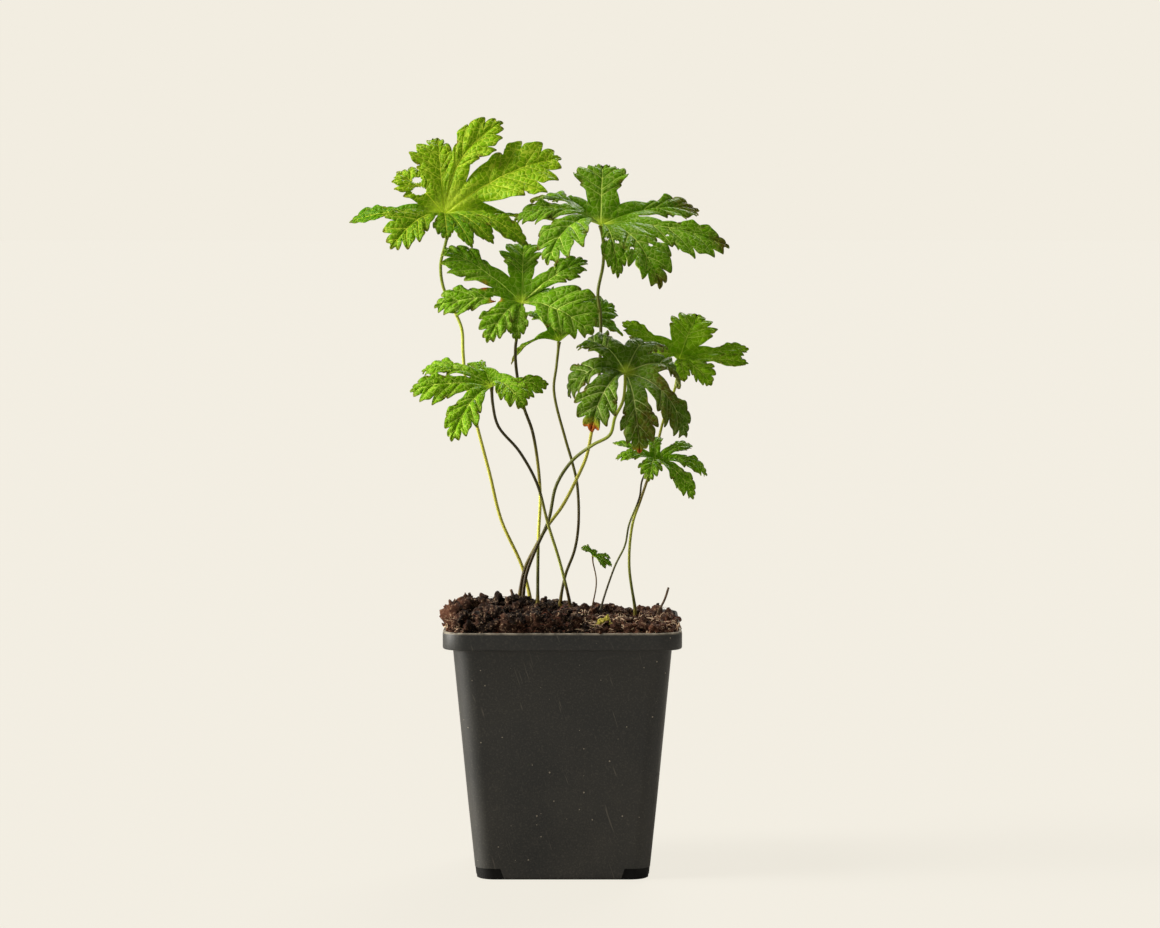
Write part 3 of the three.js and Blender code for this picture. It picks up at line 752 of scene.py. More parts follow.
def smooth_route(points, steps):
    """Centripetal curve through points, at even steps between each two of them."""
    p = np.array(points, float)
    p = np.vstack([2 * p[0] - p[1], p, 2 * p[-1] - p[-2]])
    made = []
    for i in range(1, len(p) - 2):
        a, b, c, d = p[i - 1:i + 3]
        t0, t1 = 0.0, np.linalg.norm(b - a) ** 0.5
        t2 = t1 + np.linalg.norm(c - b) ** 0.5
        t3 = t2 + np.linalg.norm(d - c) ** 0.5
        for t in np.linspace(t1, t2, steps, endpoint=False):
            ab = (a * (t1 - t) + b * (t - t0)) / (t1 - t0)
            bc = (b * (t2 - t) + c * (t - t1)) / (t2 - t1)
            cd = (c * (t3 - t) + d * (t - t2)) / (t3 - t2)
            abc = (ab * (t2 - t) + bc * (t - t0)) / (t2 - t0)
            bcd = (bc * (t3 - t) + cd * (t - t1)) / (t3 - t1)
            made.append((abc * (t2 - t) + bcd * (t - t1)) / (t2 - t1))
    return np.vstack([made, p[-2:-1]])


def make_hairs(name, path, gone, above, thick, material):
    """Fine short hairs that stand off a stalk, each a closed spike rooted inside it."""
    s = bpy.context.scene.leaf
    rng = np.random.default_rng([ord(letter) for letter in name])
    count = int(above / 10 * s.hairs)
    at = rng.uniform(1.5, above - 3, count)
    centre, tangent = (np.column_stack([np.interp(at, gone, values[:, k]) for k in range(3)])
                       for values in (path, np.gradient(path, gone, axis=0)))
    tangent = unit(tangent)
    side = unit(np.cross(tangent, LEANING))
    turn = rng.uniform(0, 2 * math.pi, count)[:, None]
    out = side * np.cos(turn) + np.cross(side, tangent) * np.sin(turn)
    around = np.cross(tangent, out)
    half = np.interp(at, gone, thick)[:, None]
    long = s.hair / MM * rng.uniform(0.45, 1, count)[:, None] * min(1, thick.mean() / 0.5)
    root = centre + out * 0.8 * half
    tip = centre + out * (half + long) + tangent * rng.normal(0, 0.12, count)[:, None]
    ring = [root + HAIR_ROOT * (tangent * math.cos(a) + around * math.sin(a)) for a in THREE_WAYS]
    faces = np.vstack([4 * np.arange(count)[:, None] + corners
                       for corners in ((1, 0, 3), (2, 1, 3), (0, 2, 3), (0, 1, 2))])
    piece = mesh_piece(name + "_hairs", np.stack([*ring, tip], axis=1).reshape(-1, 3) * MM, faces)
    piece.data.materials.append(material)
    return piece


def make_stalk(name, route, foot, radius, material, top_flare=1.0, hair=None):
    """A round stalk from its route down to its foot, standing upright in the compost."""
    ground = float(soil_top(*foot))
    standing = [(*foot, ground + rise) for rise in (2, 0, -STALK_DEPTH / 2, -STALK_DEPTH)]
    path = smooth_route([*route, *standing], 7)
    gone = np.concatenate([[0], np.cumsum(np.linalg.norm(np.diff(path, axis=0), axis=1))])
    above = gone[-1] - STALK_DEPTH
    thick = STALK_SHARE * radius * np.interp(gone, [0, 2.2, 8, above - 7, above - 1, above + 2],
                                             [1.15 * top_flare, 1.0, 0.92, 0.98, 1.3, 1.05])
    curve = bpy.data.curves.new(name + "_stalk", "CURVE")
    curve.dimensions, curve.bevel_depth, curve.bevel_resolution = "3D", MM, 3
    curve.use_fill_caps = True
    spline = curve.splines.new("POLY")
    spline.points.add(len(path) - 1)
    for point, place_mm, r in zip(spline.points, path, thick):
        point.co = (*(place_mm * MM), 1)
        point.radius = r
    stalk = bpy.data.objects.new(name + "_stalk", curve)
    bpy.context.scene.collection.objects.link(stalk)
    choose(stalk)
    bpy.ops.object.convert(target="MESH")
    stalk = bpy.context.object
    with editing(stalk):
        bpy.ops.mesh.remove_doubles(threshold=SAME_PLACE)
        bpy.ops.mesh.normals_make_consistent(inside=False)
    co = positions(stalk) / MM
    nearest = np.array([int(np.argmin(((path - c) ** 2).sum(1))) for c in co])
    down = np.clip(gone[nearest] / above, 0, 1)
    store(stalk, "stalk", down)
    stalk.data.materials.append(material)
    if hair:
        choose(stalk, make_hairs(name, path, gone, above, thick, hair))
        bpy.ops.object.join()
    return stalk


# ---- materials --------------------------------------------------------------------------------

class Skin:
    """A new material, with short ways to add the nodes that its look is made of."""

    def __init__(self, name):
        self.material = bpy.data.materials.new(name)
        self.material.use_nodes = True
        self.tree = self.material.node_tree
        self.tree.nodes.clear()

    @functools.cached_property
    def here(self):
        """Place in the object, in metres."""
        return self.add("TexCoord").outputs["Object"]

    def add(self, kind, inputs=(), **settings):
        return node(self.tree, "ShaderNode" + kind, inputs, **settings)

    def stored(self, name):
        """The three numbers of an attribute of the mesh."""
        layer = self.add("Attribute", attribute_name=name).outputs["Vector"]
        return self.add("SeparateXYZ", {0: layer}).outputs

    def noise(self, scale, detail, rough=0.5, where=None):
        """Cloudy pattern from 0 to 1, scale in cycles per metre."""
        return self.add("TexNoise", {"Vector": self.here if where is None else where, "Scale": scale,
                                     "Detail": detail, "Roughness": rough}).outputs

    def cells(self, scale, where=None, feature="F1"):
        return self.add("TexVoronoi", {"Vector": self.here if where is None else where, "Scale": scale},
                        feature=feature).outputs

    def span(self, value, low, high, at_low=0.0, at_high=1.0, soft=False):
        """Carries a value over from one span to another."""
        return self.add("MapRange", {"Value": value, 1: low, 2: high, 3: at_low, 4: at_high},
                        interpolation_type="SMOOTHSTEP" if soft else "LINEAR").outputs[0]

    def maths(self, operation, *values):
        return self.add("Math", dict(enumerate(values)), operation=operation).outputs[0]

    def mix(self, share, first, second, blend="MIX"):
        """Mixes two colours, each a socket, a linear colour or an sRGB hex text."""
        first, second = (linear(c) if isinstance(c, str) else c for c in (first, second))
        return self.add("Mix", {0: share, 6: first, 7: second}, data_type="RGBA",
                        blend_type=blend).outputs[2]

    def bump(self, height, strength, distance, invert=False):
        return self.add("Bump", {"Height": height, "Strength": strength, "Distance": distance},
                        invert=invert).outputs[0]

    def body(self, skin, rough, **more):
        """Principled surface. more holds other sockets, a space in a name written as an underscore."""
        more = {name.replace("_", " "): value for name, value in more.items()}
        return self.add("BsdfPrincipled", {"Base Color": skin, "Roughness": rough, **more}).outputs[0]

    def lit_through(self, body, glow, share, **more):
        """Lets part of the light through a surface."""
        light = self.add("BsdfTranslucent", {"Color": glow, **more}).outputs[0]
        return self.add("MixShader", {0: share, 1: body, 2: light}).outputs[0]

    def done(self, surface):
        self.add("OutputMaterial", {"Surface": surface})
        return self.material


LEAF_IOR = 1.42
PAPER_GLOW = 0.906
PLAIN_PAPER = (0.5, 0.48, 0.44, 1.0)

BLADES = {
    # upper face light and dark, veins, light coming through, underside, strength of the fine net, gloss
    "young": ("78a200", "427600", "dce84c", "c0ea00", "7f9226", 0.5, 0.09),
    "bright": ("74a200", "346a00", "d4e860", "a8dc00", "768e22", 0.36, 0.06),
    "green": ("669800", "264e00", "d8ec70", "98d400", "6a8a1e", 0.3, 0.06),
    "dark": ("587e00", "243f00", "c8d680", "7cb000", "587220", 0.24, 0.06),
}


def blade_material(name, face, deep, vein, through, net_share, gloss, under):
    """Living leaf: a waxy skin over green tissue that lets light through. The skin gives a soft sheen,
    the sunken pale veins and the raised tissue between them break it up."""
    skin = Skin("living leaf, " + name + (" underside" if under else ""))
    span, maths, mix = skin.span, skin.maths, skin.mix
    cell = 1 / bpy.context.scene.leaf.net
    spine_off, branch_off, edge_off = skin.stored("veins")
    travel, dry, shade = skin.stored("tone")
    tip_off, share, tinged = skin.stored("rim")

    # net of small veins about 2 mm apart, drawn wavy
    wobble = skin.noise(420, 2)["Color"]
    bent = skin.add("VectorMath", {0: wobble, 1: (0.0011, 0.0011, 0.0011), 2: skin.here},
                    operation="MULTIPLY_ADD").outputs[0]
    coarse = skin.cells(cell, bent, "DISTANCE_TO_EDGE")["Distance"]
    fine = skin.cells(2.3 * cell, bent, "DISTANCE_TO_EDGE")["Distance"]
    net = maths("MAXIMUM", span(coarse, 0.015, 0.085, 1.0, 0.0, True),
                span(fine, 0.015, 0.09, 0.4, 0.0, True))

    # main and side veins taper towards the tips
    spine = span(spine_off, 0.1, span(travel, 0.0, 1.0, 0.6, 0.2), 1.0, 0.0, True)
    branch = span(branch_off, 0.06, span(share, 0.0, 1.0, 0.34, 0.13), 0.75, 0.0, True)
    main = maths("MAXIMUM", spine, branch)
    shown = span(shade, 0.1, 0.8, 0.8 if under else net_share, 0.12)
    line = maths("MAXIMUM", main, maths("MULTIPLY", net, shown))

    # green varies over centimetres; the shade darkens it, partly painted shade, and each cell of the net
    # is darker towards its edge, a painted shade of the tissue that swells between the small veins
    patch = maths("MULTIPLY_ADD", skin.noise(90, 3, 0.6)[0], 0.75, shade)
    patch = maths("MULTIPLY_ADD", skin.cells(cell, bent)["Distance"], 0.35, patch)
    green = mix(line, mix(span(patch, 0.25, 1.2), face, deep), vein)

    # the hub is pale, and the tips and the cut edge are tinged purple brown
    green = mix(span(travel, 0.0, 0.35 if name == "young" else 0.15, 0.85, 0.0, True), green, "dcec50")
    speck = skin.noise(700, 3)[0]
    tip = span(tip_off, 0.3, 1.9, 0.9, 0.0, True)
    cut_edge = maths("MULTIPLY", span(edge_off, 0.2, 1.1, 0.5, 0.0, True),
                     span(tip_off, 1.3, 3.4, 1.0, 0.0, True))
    tinge = maths("MULTIPLY", maths("MAXIMUM", tip, cut_edge), span(speck, 0.35, 0.6, 0.45, 1.0))
    blush = span(maths("MULTIPLY_ADD", speck, 1.4, tinged), 0.85, 1.5, 0.0, 0.75)
    green = mix(maths("MAXIMUM", tinge, blush), green, "5a3418")

    # dried tissue: yellow halo, then rust brown
    worn = maths("MULTIPLY_ADD", speck, 0.5, dry)
    brown = span(worn, 0.6, 0.8)
    rust = mix(speck, "5a2a12", "c87030")
    tissue = mix(brown, mix(span(worn, 0.34, 0.62), green, "8a8a22"), rust)

    # relief of the net, which the mesh is too coarse to hold
    bump = skin.bump(maths("MULTIPLY_ADD", main, -0.3, coarse), 0.6, 0.0012, under)
    glow = mix(brown, mix(0.65, through, tissue), rust)
    body = skin.body(tissue, 0.6 if under else 0.4, IOR=LEAF_IOR, Specular_IOR_Level=gloss, Normal=bump)
    return skin.done(skin.lit_through(body, glow, 0.34, Normal=bump))


def stalk_material(name, tones):
    """Leaf stalk: juicy skin with fine lengthwise ribs, green, reddened or browned from place to place,
    its darker and lighter stretches partly painted shade and painted light. tones pairs a share of the
    way down from the blade with a colour."""
    skin = Skin("leaf stalk, " + name)
    down = skin.add("Attribute", attribute_name="stalk").outputs["Fac"]
    way = skin.maths("MULTIPLY_ADD", skin.noise(140, 3)[0], 0.12, down)
    ramp = skin.add("ValToRGB", {0: skin.maths("SUBTRACT", way, 0.06)})
    for k, (place_down, tone) in enumerate(tones):
        stop = ramp.color_ramp.elements[k] if k < 2 else ramp.color_ramp.elements.new(place_down)
        stop.position, stop.color = place_down, linear(tone)
    green = skin.mix(skin.span(down, 0.955, 0.985, 0.0, 0.45), ramp.outputs[0], "a08a3c")
    grain = skin.add("Mapping", {0: skin.here, 3: (500.0, 500.0, 70.0)}).outputs[0]
    ribs = skin.noise(1, 1, where=grain)[0]
    # painted shade and highlight: the ribs are darker in their grooves and paler on their crests
    green = skin.mix(1.0, green, skin.span(ribs, 0.3, 0.7, 0.86, 1.06), "MULTIPLY")
    body = skin.body(green, 0.45, IOR=LEAF_IOR, Specular_IOR_Level=0.2,
                     Normal=skin.bump(ribs, 0.2, 0.0002))
    return skin.done(skin.lit_through(body, green, 0.15))


def hair_material():
    """Plant hairs: thin clear spikes, pale against the stalk."""
    skin = Skin("plant hairs")
    return skin.done(skin.body(linear("b4b68c"), 0.5))


def dead_stalk_material():
    """Dead stalk: shrivelled brown fibre, dull and streaked along its length."""
    skin = Skin("dead leaf stalk")
    grain = skin.add("Mapping", {0: skin.here, 3: (1800.0, 1800.0, 160.0)}).outputs[0]
    streak = skin.noise(1, 3, where=grain)[0]
    brown = skin.mix(streak, "2a1d14", "7a5f42")
    return skin.done(skin.body(brown, 0.8, Normal=skin.bump(streak, 0.7, 0.0003)))


def compost_material(name, base, second):
    """Moist peat compost: near black clods with reddish fibre between, quite matt, paler on the tops of
    its fine grain and darker in the pits of that grain, a painted shade.
    """
    skin = Skin(name)
    span, mix = skin.span, skin.mix
    clods, grit = skin.noise(120, 4, 0.65)[0], skin.noise(900, 6, 0.7)[0]
    x = skin.add("SeparateXYZ", {0: skin.here}).outputs[0]
    red = skin.maths("ADD", clods, span(x, 0.0, 0.036, 0.0, 0.2))
    red = skin.maths("ADD", red, span(x, -0.034, -0.044, 0.0, 0.25))
    earth = mix(span(red, 0.48, 0.8, 0.0, 0.95), base, second)
    earth = mix(span(grit, 0.55, 0.66, 0.0, 0.9), earth, "9c8268")
    # painted shade: the low half of the fine grain, which the bump sinks, is darkened down to a quarter
    earth = mix(1.0, earth, span(grit, 0.3, 0.5, 0.25, 1.0), "MULTIPLY")
    return skin.done(skin.body(earth, 0.85, Specular_IOR_Level=0.1, Normal=skin.bump(grit, 1.0, 0.0012)))


def fibre_material(name, dark, light, scale):
    """Dry plant fibre or moss: thin, matt and of two tones along its length."""
    skin = Skin(name)
    tone = skin.span(skin.noise(scale, 2)[0], 0.35, 0.65)
    return skin.done(skin.body(skin.mix(tone, dark, light), 0.85, Specular_IOR_Level=0.15))


def pot_material():
    """Recycled black polypropylene, thermoformed: a dull satin skin with a grey bloom, watering dust
    along the edge of the rim, and hair scratches."""
    s = bpy.context.scene.pot
    skin = Skin("thermoformed black polypropylene")
    span, maths = skin.span, skin.maths
    split = skin.add("SeparateXYZ", {0: skin.here}).outputs
    bloom = skin.noise(28, 4, 0.6)[0]
    film = maths("MULTIPLY", span(bloom, 0.3, 0.8, 0.0, 0.08), span(split[2], 0.0, s.height, 1.2, 0.4))
    film = maths("ADD", film, span(skin.noise(1500, 3)[0], 0.5, 0.75, 0.0, 0.07))

    # pale specks of dried water, few of them large
    specks = skin.cells(620)
    draw = skin.add("SeparateColor", {0: specks["Color"]}).outputs[0]
    speck = maths("LESS_THAN", specks["Distance"], span(draw, 0.9, 1.0, 0.0, 0.2))
    dust = maths("MAXIMUM", film, maths("MULTIPLY", speck, 0.7))

    # hair scratches that run steeply
    aslant = skin.add("Mapping", {0: skin.here, 2: (0.0, math.radians(74), math.radians(45)),
                                  3: (0.016, 0.016, 0.0008)}, vector_type="TEXTURE").outputs[0]
    hair = span(skin.noise(1, 2, where=aslant)[0], 0.68, 0.76, 0.0, 0.2)
    dust = maths("MAXIMUM", dust, hair)

    # soil dust on the edge of the rim, which it makes dull
    lip = span(split[2], s.height - 0.9 * MM, s.height - 0.2 * MM)
    crumbly = span(skin.noise(300, 4)[0], 0.35, 0.6, 0.25, 0.95)
    crest = maths("MULTIPLY", maths("MULTIPLY", lip, crumbly), span(split[1], -0.02, 0.01, 1.0, 0.1))
    dust = maths("MAXIMUM", dust, crest)
    rough = maths("MAXIMUM", span(bloom, 0.3, 0.7, 0.45, 0.6), lip)
    bump = skin.bump(skin.noise(2200, 2)[0], 0.18, 0.0002)
    plastic = skin.mix(dust, s.plastic, s.dust)
    return skin.done(skin.body(plastic, rough, IOR=1.49, Specular_IOR_Level=0.32, Normal=bump))


def recess_shade_material():
    """The same plastic in the drain recesses, painted near black for the shade that falls in them."""
    skin = Skin("black polypropylene, painted recess shade")
    mottle = skin.noise(400, 3)[0]
    return skin.done(skin.body(skin.mix(mottle, "050505", "10100f"), 0.6, Specular_IOR_Level=0.1))


def paper_material():
    """Pale studio paper: even in the light, with a faint soft shadow where something stands on it."""
    s = bpy.context.scene.stage
    skin = Skin("studio paper")
    seen = skin.add("LightPath").outputs["Is Camera Ray"]
    takes = skin.add("BsdfDiffuse", {0: (s.shadow, s.shadow, s.shadow, 1.0)}).outputs[0]
    shines = skin.add("Emission", {0: s.paper, 1: PAPER_GLOW}).outputs[0]
    lit = skin.add("AddShader", {0: takes, 1: shines}).outputs[0]
    plain = skin.add("BsdfDiffuse", {0: PLAIN_PAPER}).outputs[0]
    return skin.done(skin.add("MixShader", {0: seen, 1: plain, 2: lit}).outputs[0])


# ---- operators --------------------------------------------------------------------------------

class GERANIUM_OT_pot(bpy.types.Operator):
    """Makes the thin-walled square pot with its rim band, drain holes and corner recesses"""

    bl_idname = "geranium.pot"
    bl_label = "Pot"

    def execute(self, context):
        s = context.scene.pot
        band = s.height - s.rim_depth
        deselect()
        bpy.ops.mesh.primitive_plane_add(size=2 * s.base_half - 2 * MM, location=(0, 0, 0))
        pot = context.object
        pot.name = pot.data.name = "pot_finish"
        for material in (pot_material(), recess_shade_material()):
            pot.data.materials.append(material)
        # rings up the outside, over the rim and down the inside: height, then half width
        base, neck, rim, top = s.base_half, s.neck_half, s.rim_half, s.height
        rings = (
            (0.3 * MM, base - 0.45 * MM), (0.8 * MM, base - 0.1 * MM), (2 * MM, base),
            (0.33 * band, base + 0.33 * (neck - base)), (0.66 * band, base + 0.66 * (neck - base)),
            (band - 0.4 * MM, neck - 0.05 * MM), (band, neck + 0.25 * MM),
            (band + 0.05 * MM, rim - 0.5 * MM), (band + 0.3 * MM, rim - 0.12 * MM),
            (band + 0.8 * MM, rim), (top - 0.9 * MM, rim),
            (top - 0.3 * MM, rim - 0.1 * MM), (top, rim - 0.4 * MM), (top, rim - s.wall),
            (top - 0.3 * MM, rim - s.wall - 0.15 * MM), (band + 1 * MM, rim - s.wall - 0.2 * MM),
            (band + 0.8 * MM, neck - s.wall), (s.floor, base - s.wall - 0.2 * MM))
        with editing(pot):
            self.round_corners(s)
            self.half, self.z = base - 1 * MM, 0.0
            for z, half in rings:
                self.ring(z, half)
        face_outwards(pot)
        for sx, sy in itertools.product((-1, 1), repeat=2):
            self.recess(s, pot, sx, sy)
        with editing(pot):
            bpy.ops.mesh.remove_doubles(threshold=SAME_PLACE)
            bpy.ops.mesh.quads_convert_to_tris()
        finish_piece(pot, ["pot"], 35)
        return {"FINISHED"}

    def round_corners(self, s):
        """Turns the selected square to face down and rounds its corners."""
        bpy.ops.mesh.flip_normals()
        bpy.ops.mesh.bevel(offset=s.corner - 1 * MM, segments=12, affect="VERTICES", profile=0.5)

    def ring(self, z, half):
        """Draws the selected face out to the next height and half width."""
        if z != self.z or half != self.half:
            bpy.ops.mesh.extrude_region_move(TRANSFORM_OT_translate={"value": (0, 0, z - self.z)})
            k = half / self.half
            bpy.ops.transform.resize(value=(k, k, 1), center_override=(0, 0, z))
        self.z, self.half = z, half

    def recess(self, s, pot, sx, sy):
        """Sinks the drain recess round a bottom corner and opens the drain hole beside it."""
        deselect()
        bpy.ops.mesh.primitive_cube_add(size=1, location=(0, 0, 0))
        block = bpy.context.object

        # an L-shaped cutter: the outer skin of the corner up to the top of the recess
        side = positions(block) > 0
        co = np.where(side, s.base_half + 3 * MM, s.base_half - 9.5 * MM)
        co[:, 2] = np.where(side[:, 2], 4.3 * MM, -1 * MM)
        for axis in (0, 1):
            co[~side[:, 2] & ~side[:, axis], axis] -= 1.8 * MM
        place(block, co)
        deselect()
        bpy.ops.mesh.primitive_plane_add(size=2 * (s.base_half - 0.7 * MM), location=(0, 0, -2 * MM))
        core = bpy.context.object
        with editing(core):
            self.round_corners(s)
            bpy.ops.mesh.extrude_region_move(TRANSFORM_OT_translate={"value": (0, 0, 8 * MM)})
            bpy.ops.transform.resize(value=(1.023, 1.023, 1), center_override=(0, 0, 6 * MM))
        apply_place(core)
        face_outwards(core)
        carve(block, core)
        place(block, positions(block) * np.array([sx, sy, 1]))
        face_outwards(block)
        # the cut faces take the near black second material: painted shade in the recess
        for slot in pot.data.materials:
            block.data.materials.append(slot)
        block.data.polygons.foreach_set("material_index", [1] * len(block.data.polygons))
        carve(pot, block)
        deselect()
        bpy.ops.mesh.primitive_cylinder_add(radius=DRAIN_RADIUS * MM, depth=12 * MM, vertices=28,
                                            location=(sx * DRAIN_PLACE * MM, sy * DRAIN_PLACE * MM, 0))
        drain = bpy.context.object
        apply_place(drain)
        carve(pot, drain)
        for tool in (block, core, drain):
            bpy.data.objects.remove(tool)


class GERANIUM_OT_compost(bpy.types.Operator):
    """Makes the heaped compost that fills the pot"""

    bl_idname = "geranium.compost"
    bl_label = "Compost"

    def execute(self, context):
        s, p = context.scene.compost, context.scene.pot
        lip = (p.rim_half - p.wall) / MM - 0.5
        radius = 7.2
        deselect()
        bpy.ops.mesh.primitive_grid_add(x_subdivisions=230, y_subdivisions=230, size=2 * lip * MM,
                                        location=(0, 0, 0))
        soil = context.object
        soil.name = soil.data.name = "compost"
        co = positions(soil) / MM
        for sx, sy in itertools.product((-1, 1), repeat=2):
            dx, dy = co[:, 0] * sx - (lip - radius), co[:, 1] * sy - (lip - radius)
            corner = (dx > 0) & (dy > 0)
            k = np.maximum(dx, dy) / np.maximum(np.hypot(dx, dy), 1e-9)
            co[corner, 0] = sx * (lip - radius + dx[corner] * k[corner])
            co[corner, 1] = sy * (lip - radius + dy[corner] * k[corner])
        co[:, 2] = soil_top(co[:, 0], co[:, 1])
        place(soil, co * MM)

        # clods of about 10, 4 and 2 mm, lower against the rim
        reach = np.maximum(abs(co[:, 0]), abs(co[:, 1])) / lip
        group = soil.vertex_groups.new(name="rough")
        for i, weight in enumerate(np.interp(reach, [0.965, 0.995, 1], [1, 0.5, 0.05])):
            group.add([i], float(weight), "REPLACE")
        for kind, size, rise, middle in (("VORONOI", 9.5, -5.5, 0.42), ("VORONOI", 4.2, -2.4, 0.45),
                                         ("CLOUDS", 1.7, 1.6, 0.5), ("CLOUDS", 0.8, 0.8, 0.5)):
            texture = bpy.data.textures.new("clods", kind)
            texture.noise_scale = size * MM
            apply_modifier(soil, "DISPLACE", texture=texture, texture_coords="LOCAL", strength=rise * MM,
                           mid_level=middle, vertex_group="rough")

        # down inside the pot to its floor
        band = p.height - p.rim_depth + 1.3 * MM
        neck, base = p.neck_half - p.wall - 0.3 * MM, p.base_half - p.wall - 0.5 * MM
        z = s.level
        with editing(soil):
            bpy.ops.mesh.select_mode(type="EDGE")
            bpy.ops.mesh.select_all(action="DESELECT")
            bpy.ops.mesh.select_non_manifold()
            for low, k in ((band, 1.0), (band, neck / (lip * MM)), (p.floor + 0.3 * MM, base / neck)):
                bpy.ops.mesh.extrude_edges_move(TRANSFORM_OT_translate={"value": (0, 0, low - z)})
                bpy.ops.transform.resize(value=(k, k, 0), center_override=(0, 0, low))
                z = low
            bpy.ops.mesh.edge_face_add()
        face_outwards(soil)
        soil.data.materials.append(compost_material("moist peat compost", s.peat, s.fibre))
        finish_piece(soil, ["soil"])
        return {"FINISHED"}


class GERANIUM_OT_litter(bpy.types.Operator):
    """Scatters loose clods, crumbs, peat strands and bits of moss over the compost"""

    bl_idname = "geranium.litter"
    bl_label = "Crumbs and strands"

    def execute(self, context):
        s = context.scene.compost
        rng = random.Random(s.seed)
        earth = compost_material("peat crumbs", s.peat, s.fibre)
        moss = fibre_material("moss tuft", "5a5620", "c2b44c", 1500.0)
        wood = fibre_material("bark chips", "8a6a4c", "d8c0a0", 900.0)
        self.crumbs(rng, "clods", 64, (1.5, 3.9), 3, earth, self.edge)
        self.crumbs(rng, "crumbs", s.crumbs, (0.35, 1.5), 2, earth, self.anywhere)
        wet = compost_material("wet peat clods", linear("160d09"), s.fibre)
        self.crumbs(rng, "lumps", 24, (2.4, 4.4), 4, wet, self.heavy)
        self.crumbs(rng, "moss", 80, (0.4, 1.1), 2, moss, self.mossy, 1.3)
        self.crumbs(rng, "chips", 46, (0.3, 0.9), 1, wood, self.right_side)
        for name, count, colours, where in (
                ("strands", s.strands, ("2e1c14", "6b4030"), self.anywhere),
                ("rootlets", s.strands // 2, ("8a6448", "e0c8a8"), self.right_side)):
            self.strands(rng, name, count, fibre_material("dry peat " + name, *colours, 700.0), where)
        return {"FINISHED"}

    def inside(self, x, y):
        while abs(x / RIM_INSIDE) ** 7 + abs(y / RIM_INSIDE) ** 7 > 1:
            x, y = x * 0.985, y * 0.985
        return x, y

    def anywhere(self, rng):
        """A place on the heap, more often near its front edge and its two front corners."""
        x, y = rng.uniform(-44, 44), rng.uniform(-44, 44)
        if rng.random() < 0.5:
            y = -43.5 + rng.random() ** 2 * 16
        if rng.random() < 0.16:
            side = rng.choice((-1, 1))
            x, y = side * rng.uniform(39, 45), -rng.uniform(-10, 44)
        return self.inside(x, y)

    def edge(self, rng):
        """A place for a larger clod: along the front and up the left."""
        draw = rng.random()
        if draw < 0.4:
            return self.inside(rng.uniform(-44, 42), rng.uniform(-43, -36))
        if draw < 0.62:
            return self.inside(rng.uniform(-44.5, -36), rng.uniform(-42, 30))
        return self.inside(rng.uniform(-42, -8), rng.uniform(-36, 12))

    def right_side(self, rng):
        if rng.random() < 0.3:
            return self.inside(rng.uniform(-44.5, -34), rng.uniform(-44, -20))
        return self.inside(rng.uniform(4, 44.5), rng.uniform(-44, -8))

    def heavy(self, rng):
        """A place for a large wet lump, left of the middle."""
        draw = rng.random()
        if draw < 0.35:
            return self.inside(rng.uniform(-42.5, -40.5), rng.uniform(-36, 34))
        if draw < 0.45:
            return rng.uniform(7, 14), rng.uniform(-12, -4)
        return rng.uniform(-40, -4), rng.uniform(-40, -22)

    def mossy(self, rng):
        if rng.random() < 0.5:
            return rng.gauss(13.5, 1.1), rng.gauss(-36, 0.8)
        return rng.uniform(12, 20), -36 + rng.uniform(-1.4, 1.4)

    def ground(self, x, y):
        """Height in mm of the finished compost at a place."""
        above, down = Vector((x * MM, y * MM, 0.2)), Vector((0, 0, -1))
        hit, spot, _, _ = bpy.data.objects["compost"].ray_cast(above, down)
        return spot.z / MM if hit else bpy.context.scene.compost.level / MM

    def crumbs(self, rng, name, count, sizes, level, material, where, lift=0.0):
        """Copies a knobbly crumb, each turned, stretched and sized by itself."""
        deselect()
        bpy.ops.mesh.primitive_ico_sphere_add(subdivisions=level, radius=1, location=(0, 0, 0))
        start = bpy.context.object
        base = positions(start)
        faces = np.array([p.vertices for p in start.data.polygons])
        bpy.data.objects.remove(start)
        points, cells = [], []
        for i in range(count):
            x, y = where(rng)
            size = sizes[0] + (sizes[1] - sizes[0]) * rng.random() ** 2.4
            shift = Vector((rng.uniform(0, 50), rng.uniform(0, 50), rng.uniform(0, 50)))
            knobs = np.array([1 + 0.8 * noise.noise(Vector(v) * 1.2 + shift)
                              + 0.5 * noise.noise(Vector(v) * 2.9 + shift)
                              + 0.25 * noise.noise(Vector(v) * 6.5 + shift) for v in base])
            axes, _ = np.linalg.qr(np.array([[rng.gauss(0, 1) for _ in range(3)] for _ in range(3)]))
            axes[:, 0] *= np.sign(np.linalg.det(axes))
            spread = np.array([rng.uniform(0.8, 1.35), rng.uniform(0.6, 1.0), rng.uniform(0.55, 0.9)])
            body = (base * knobs[:, None] * spread * size) @ axes.T
            points.append(body + np.array([x, y, self.ground(x, y) + 0.25 * size + lift]))
            cells.append(faces + i * len(base))
        piece = mesh_piece(name, np.vstack(points) * MM, np.vstack(cells))
        piece.data.materials.append(material)
        finish_piece(piece)

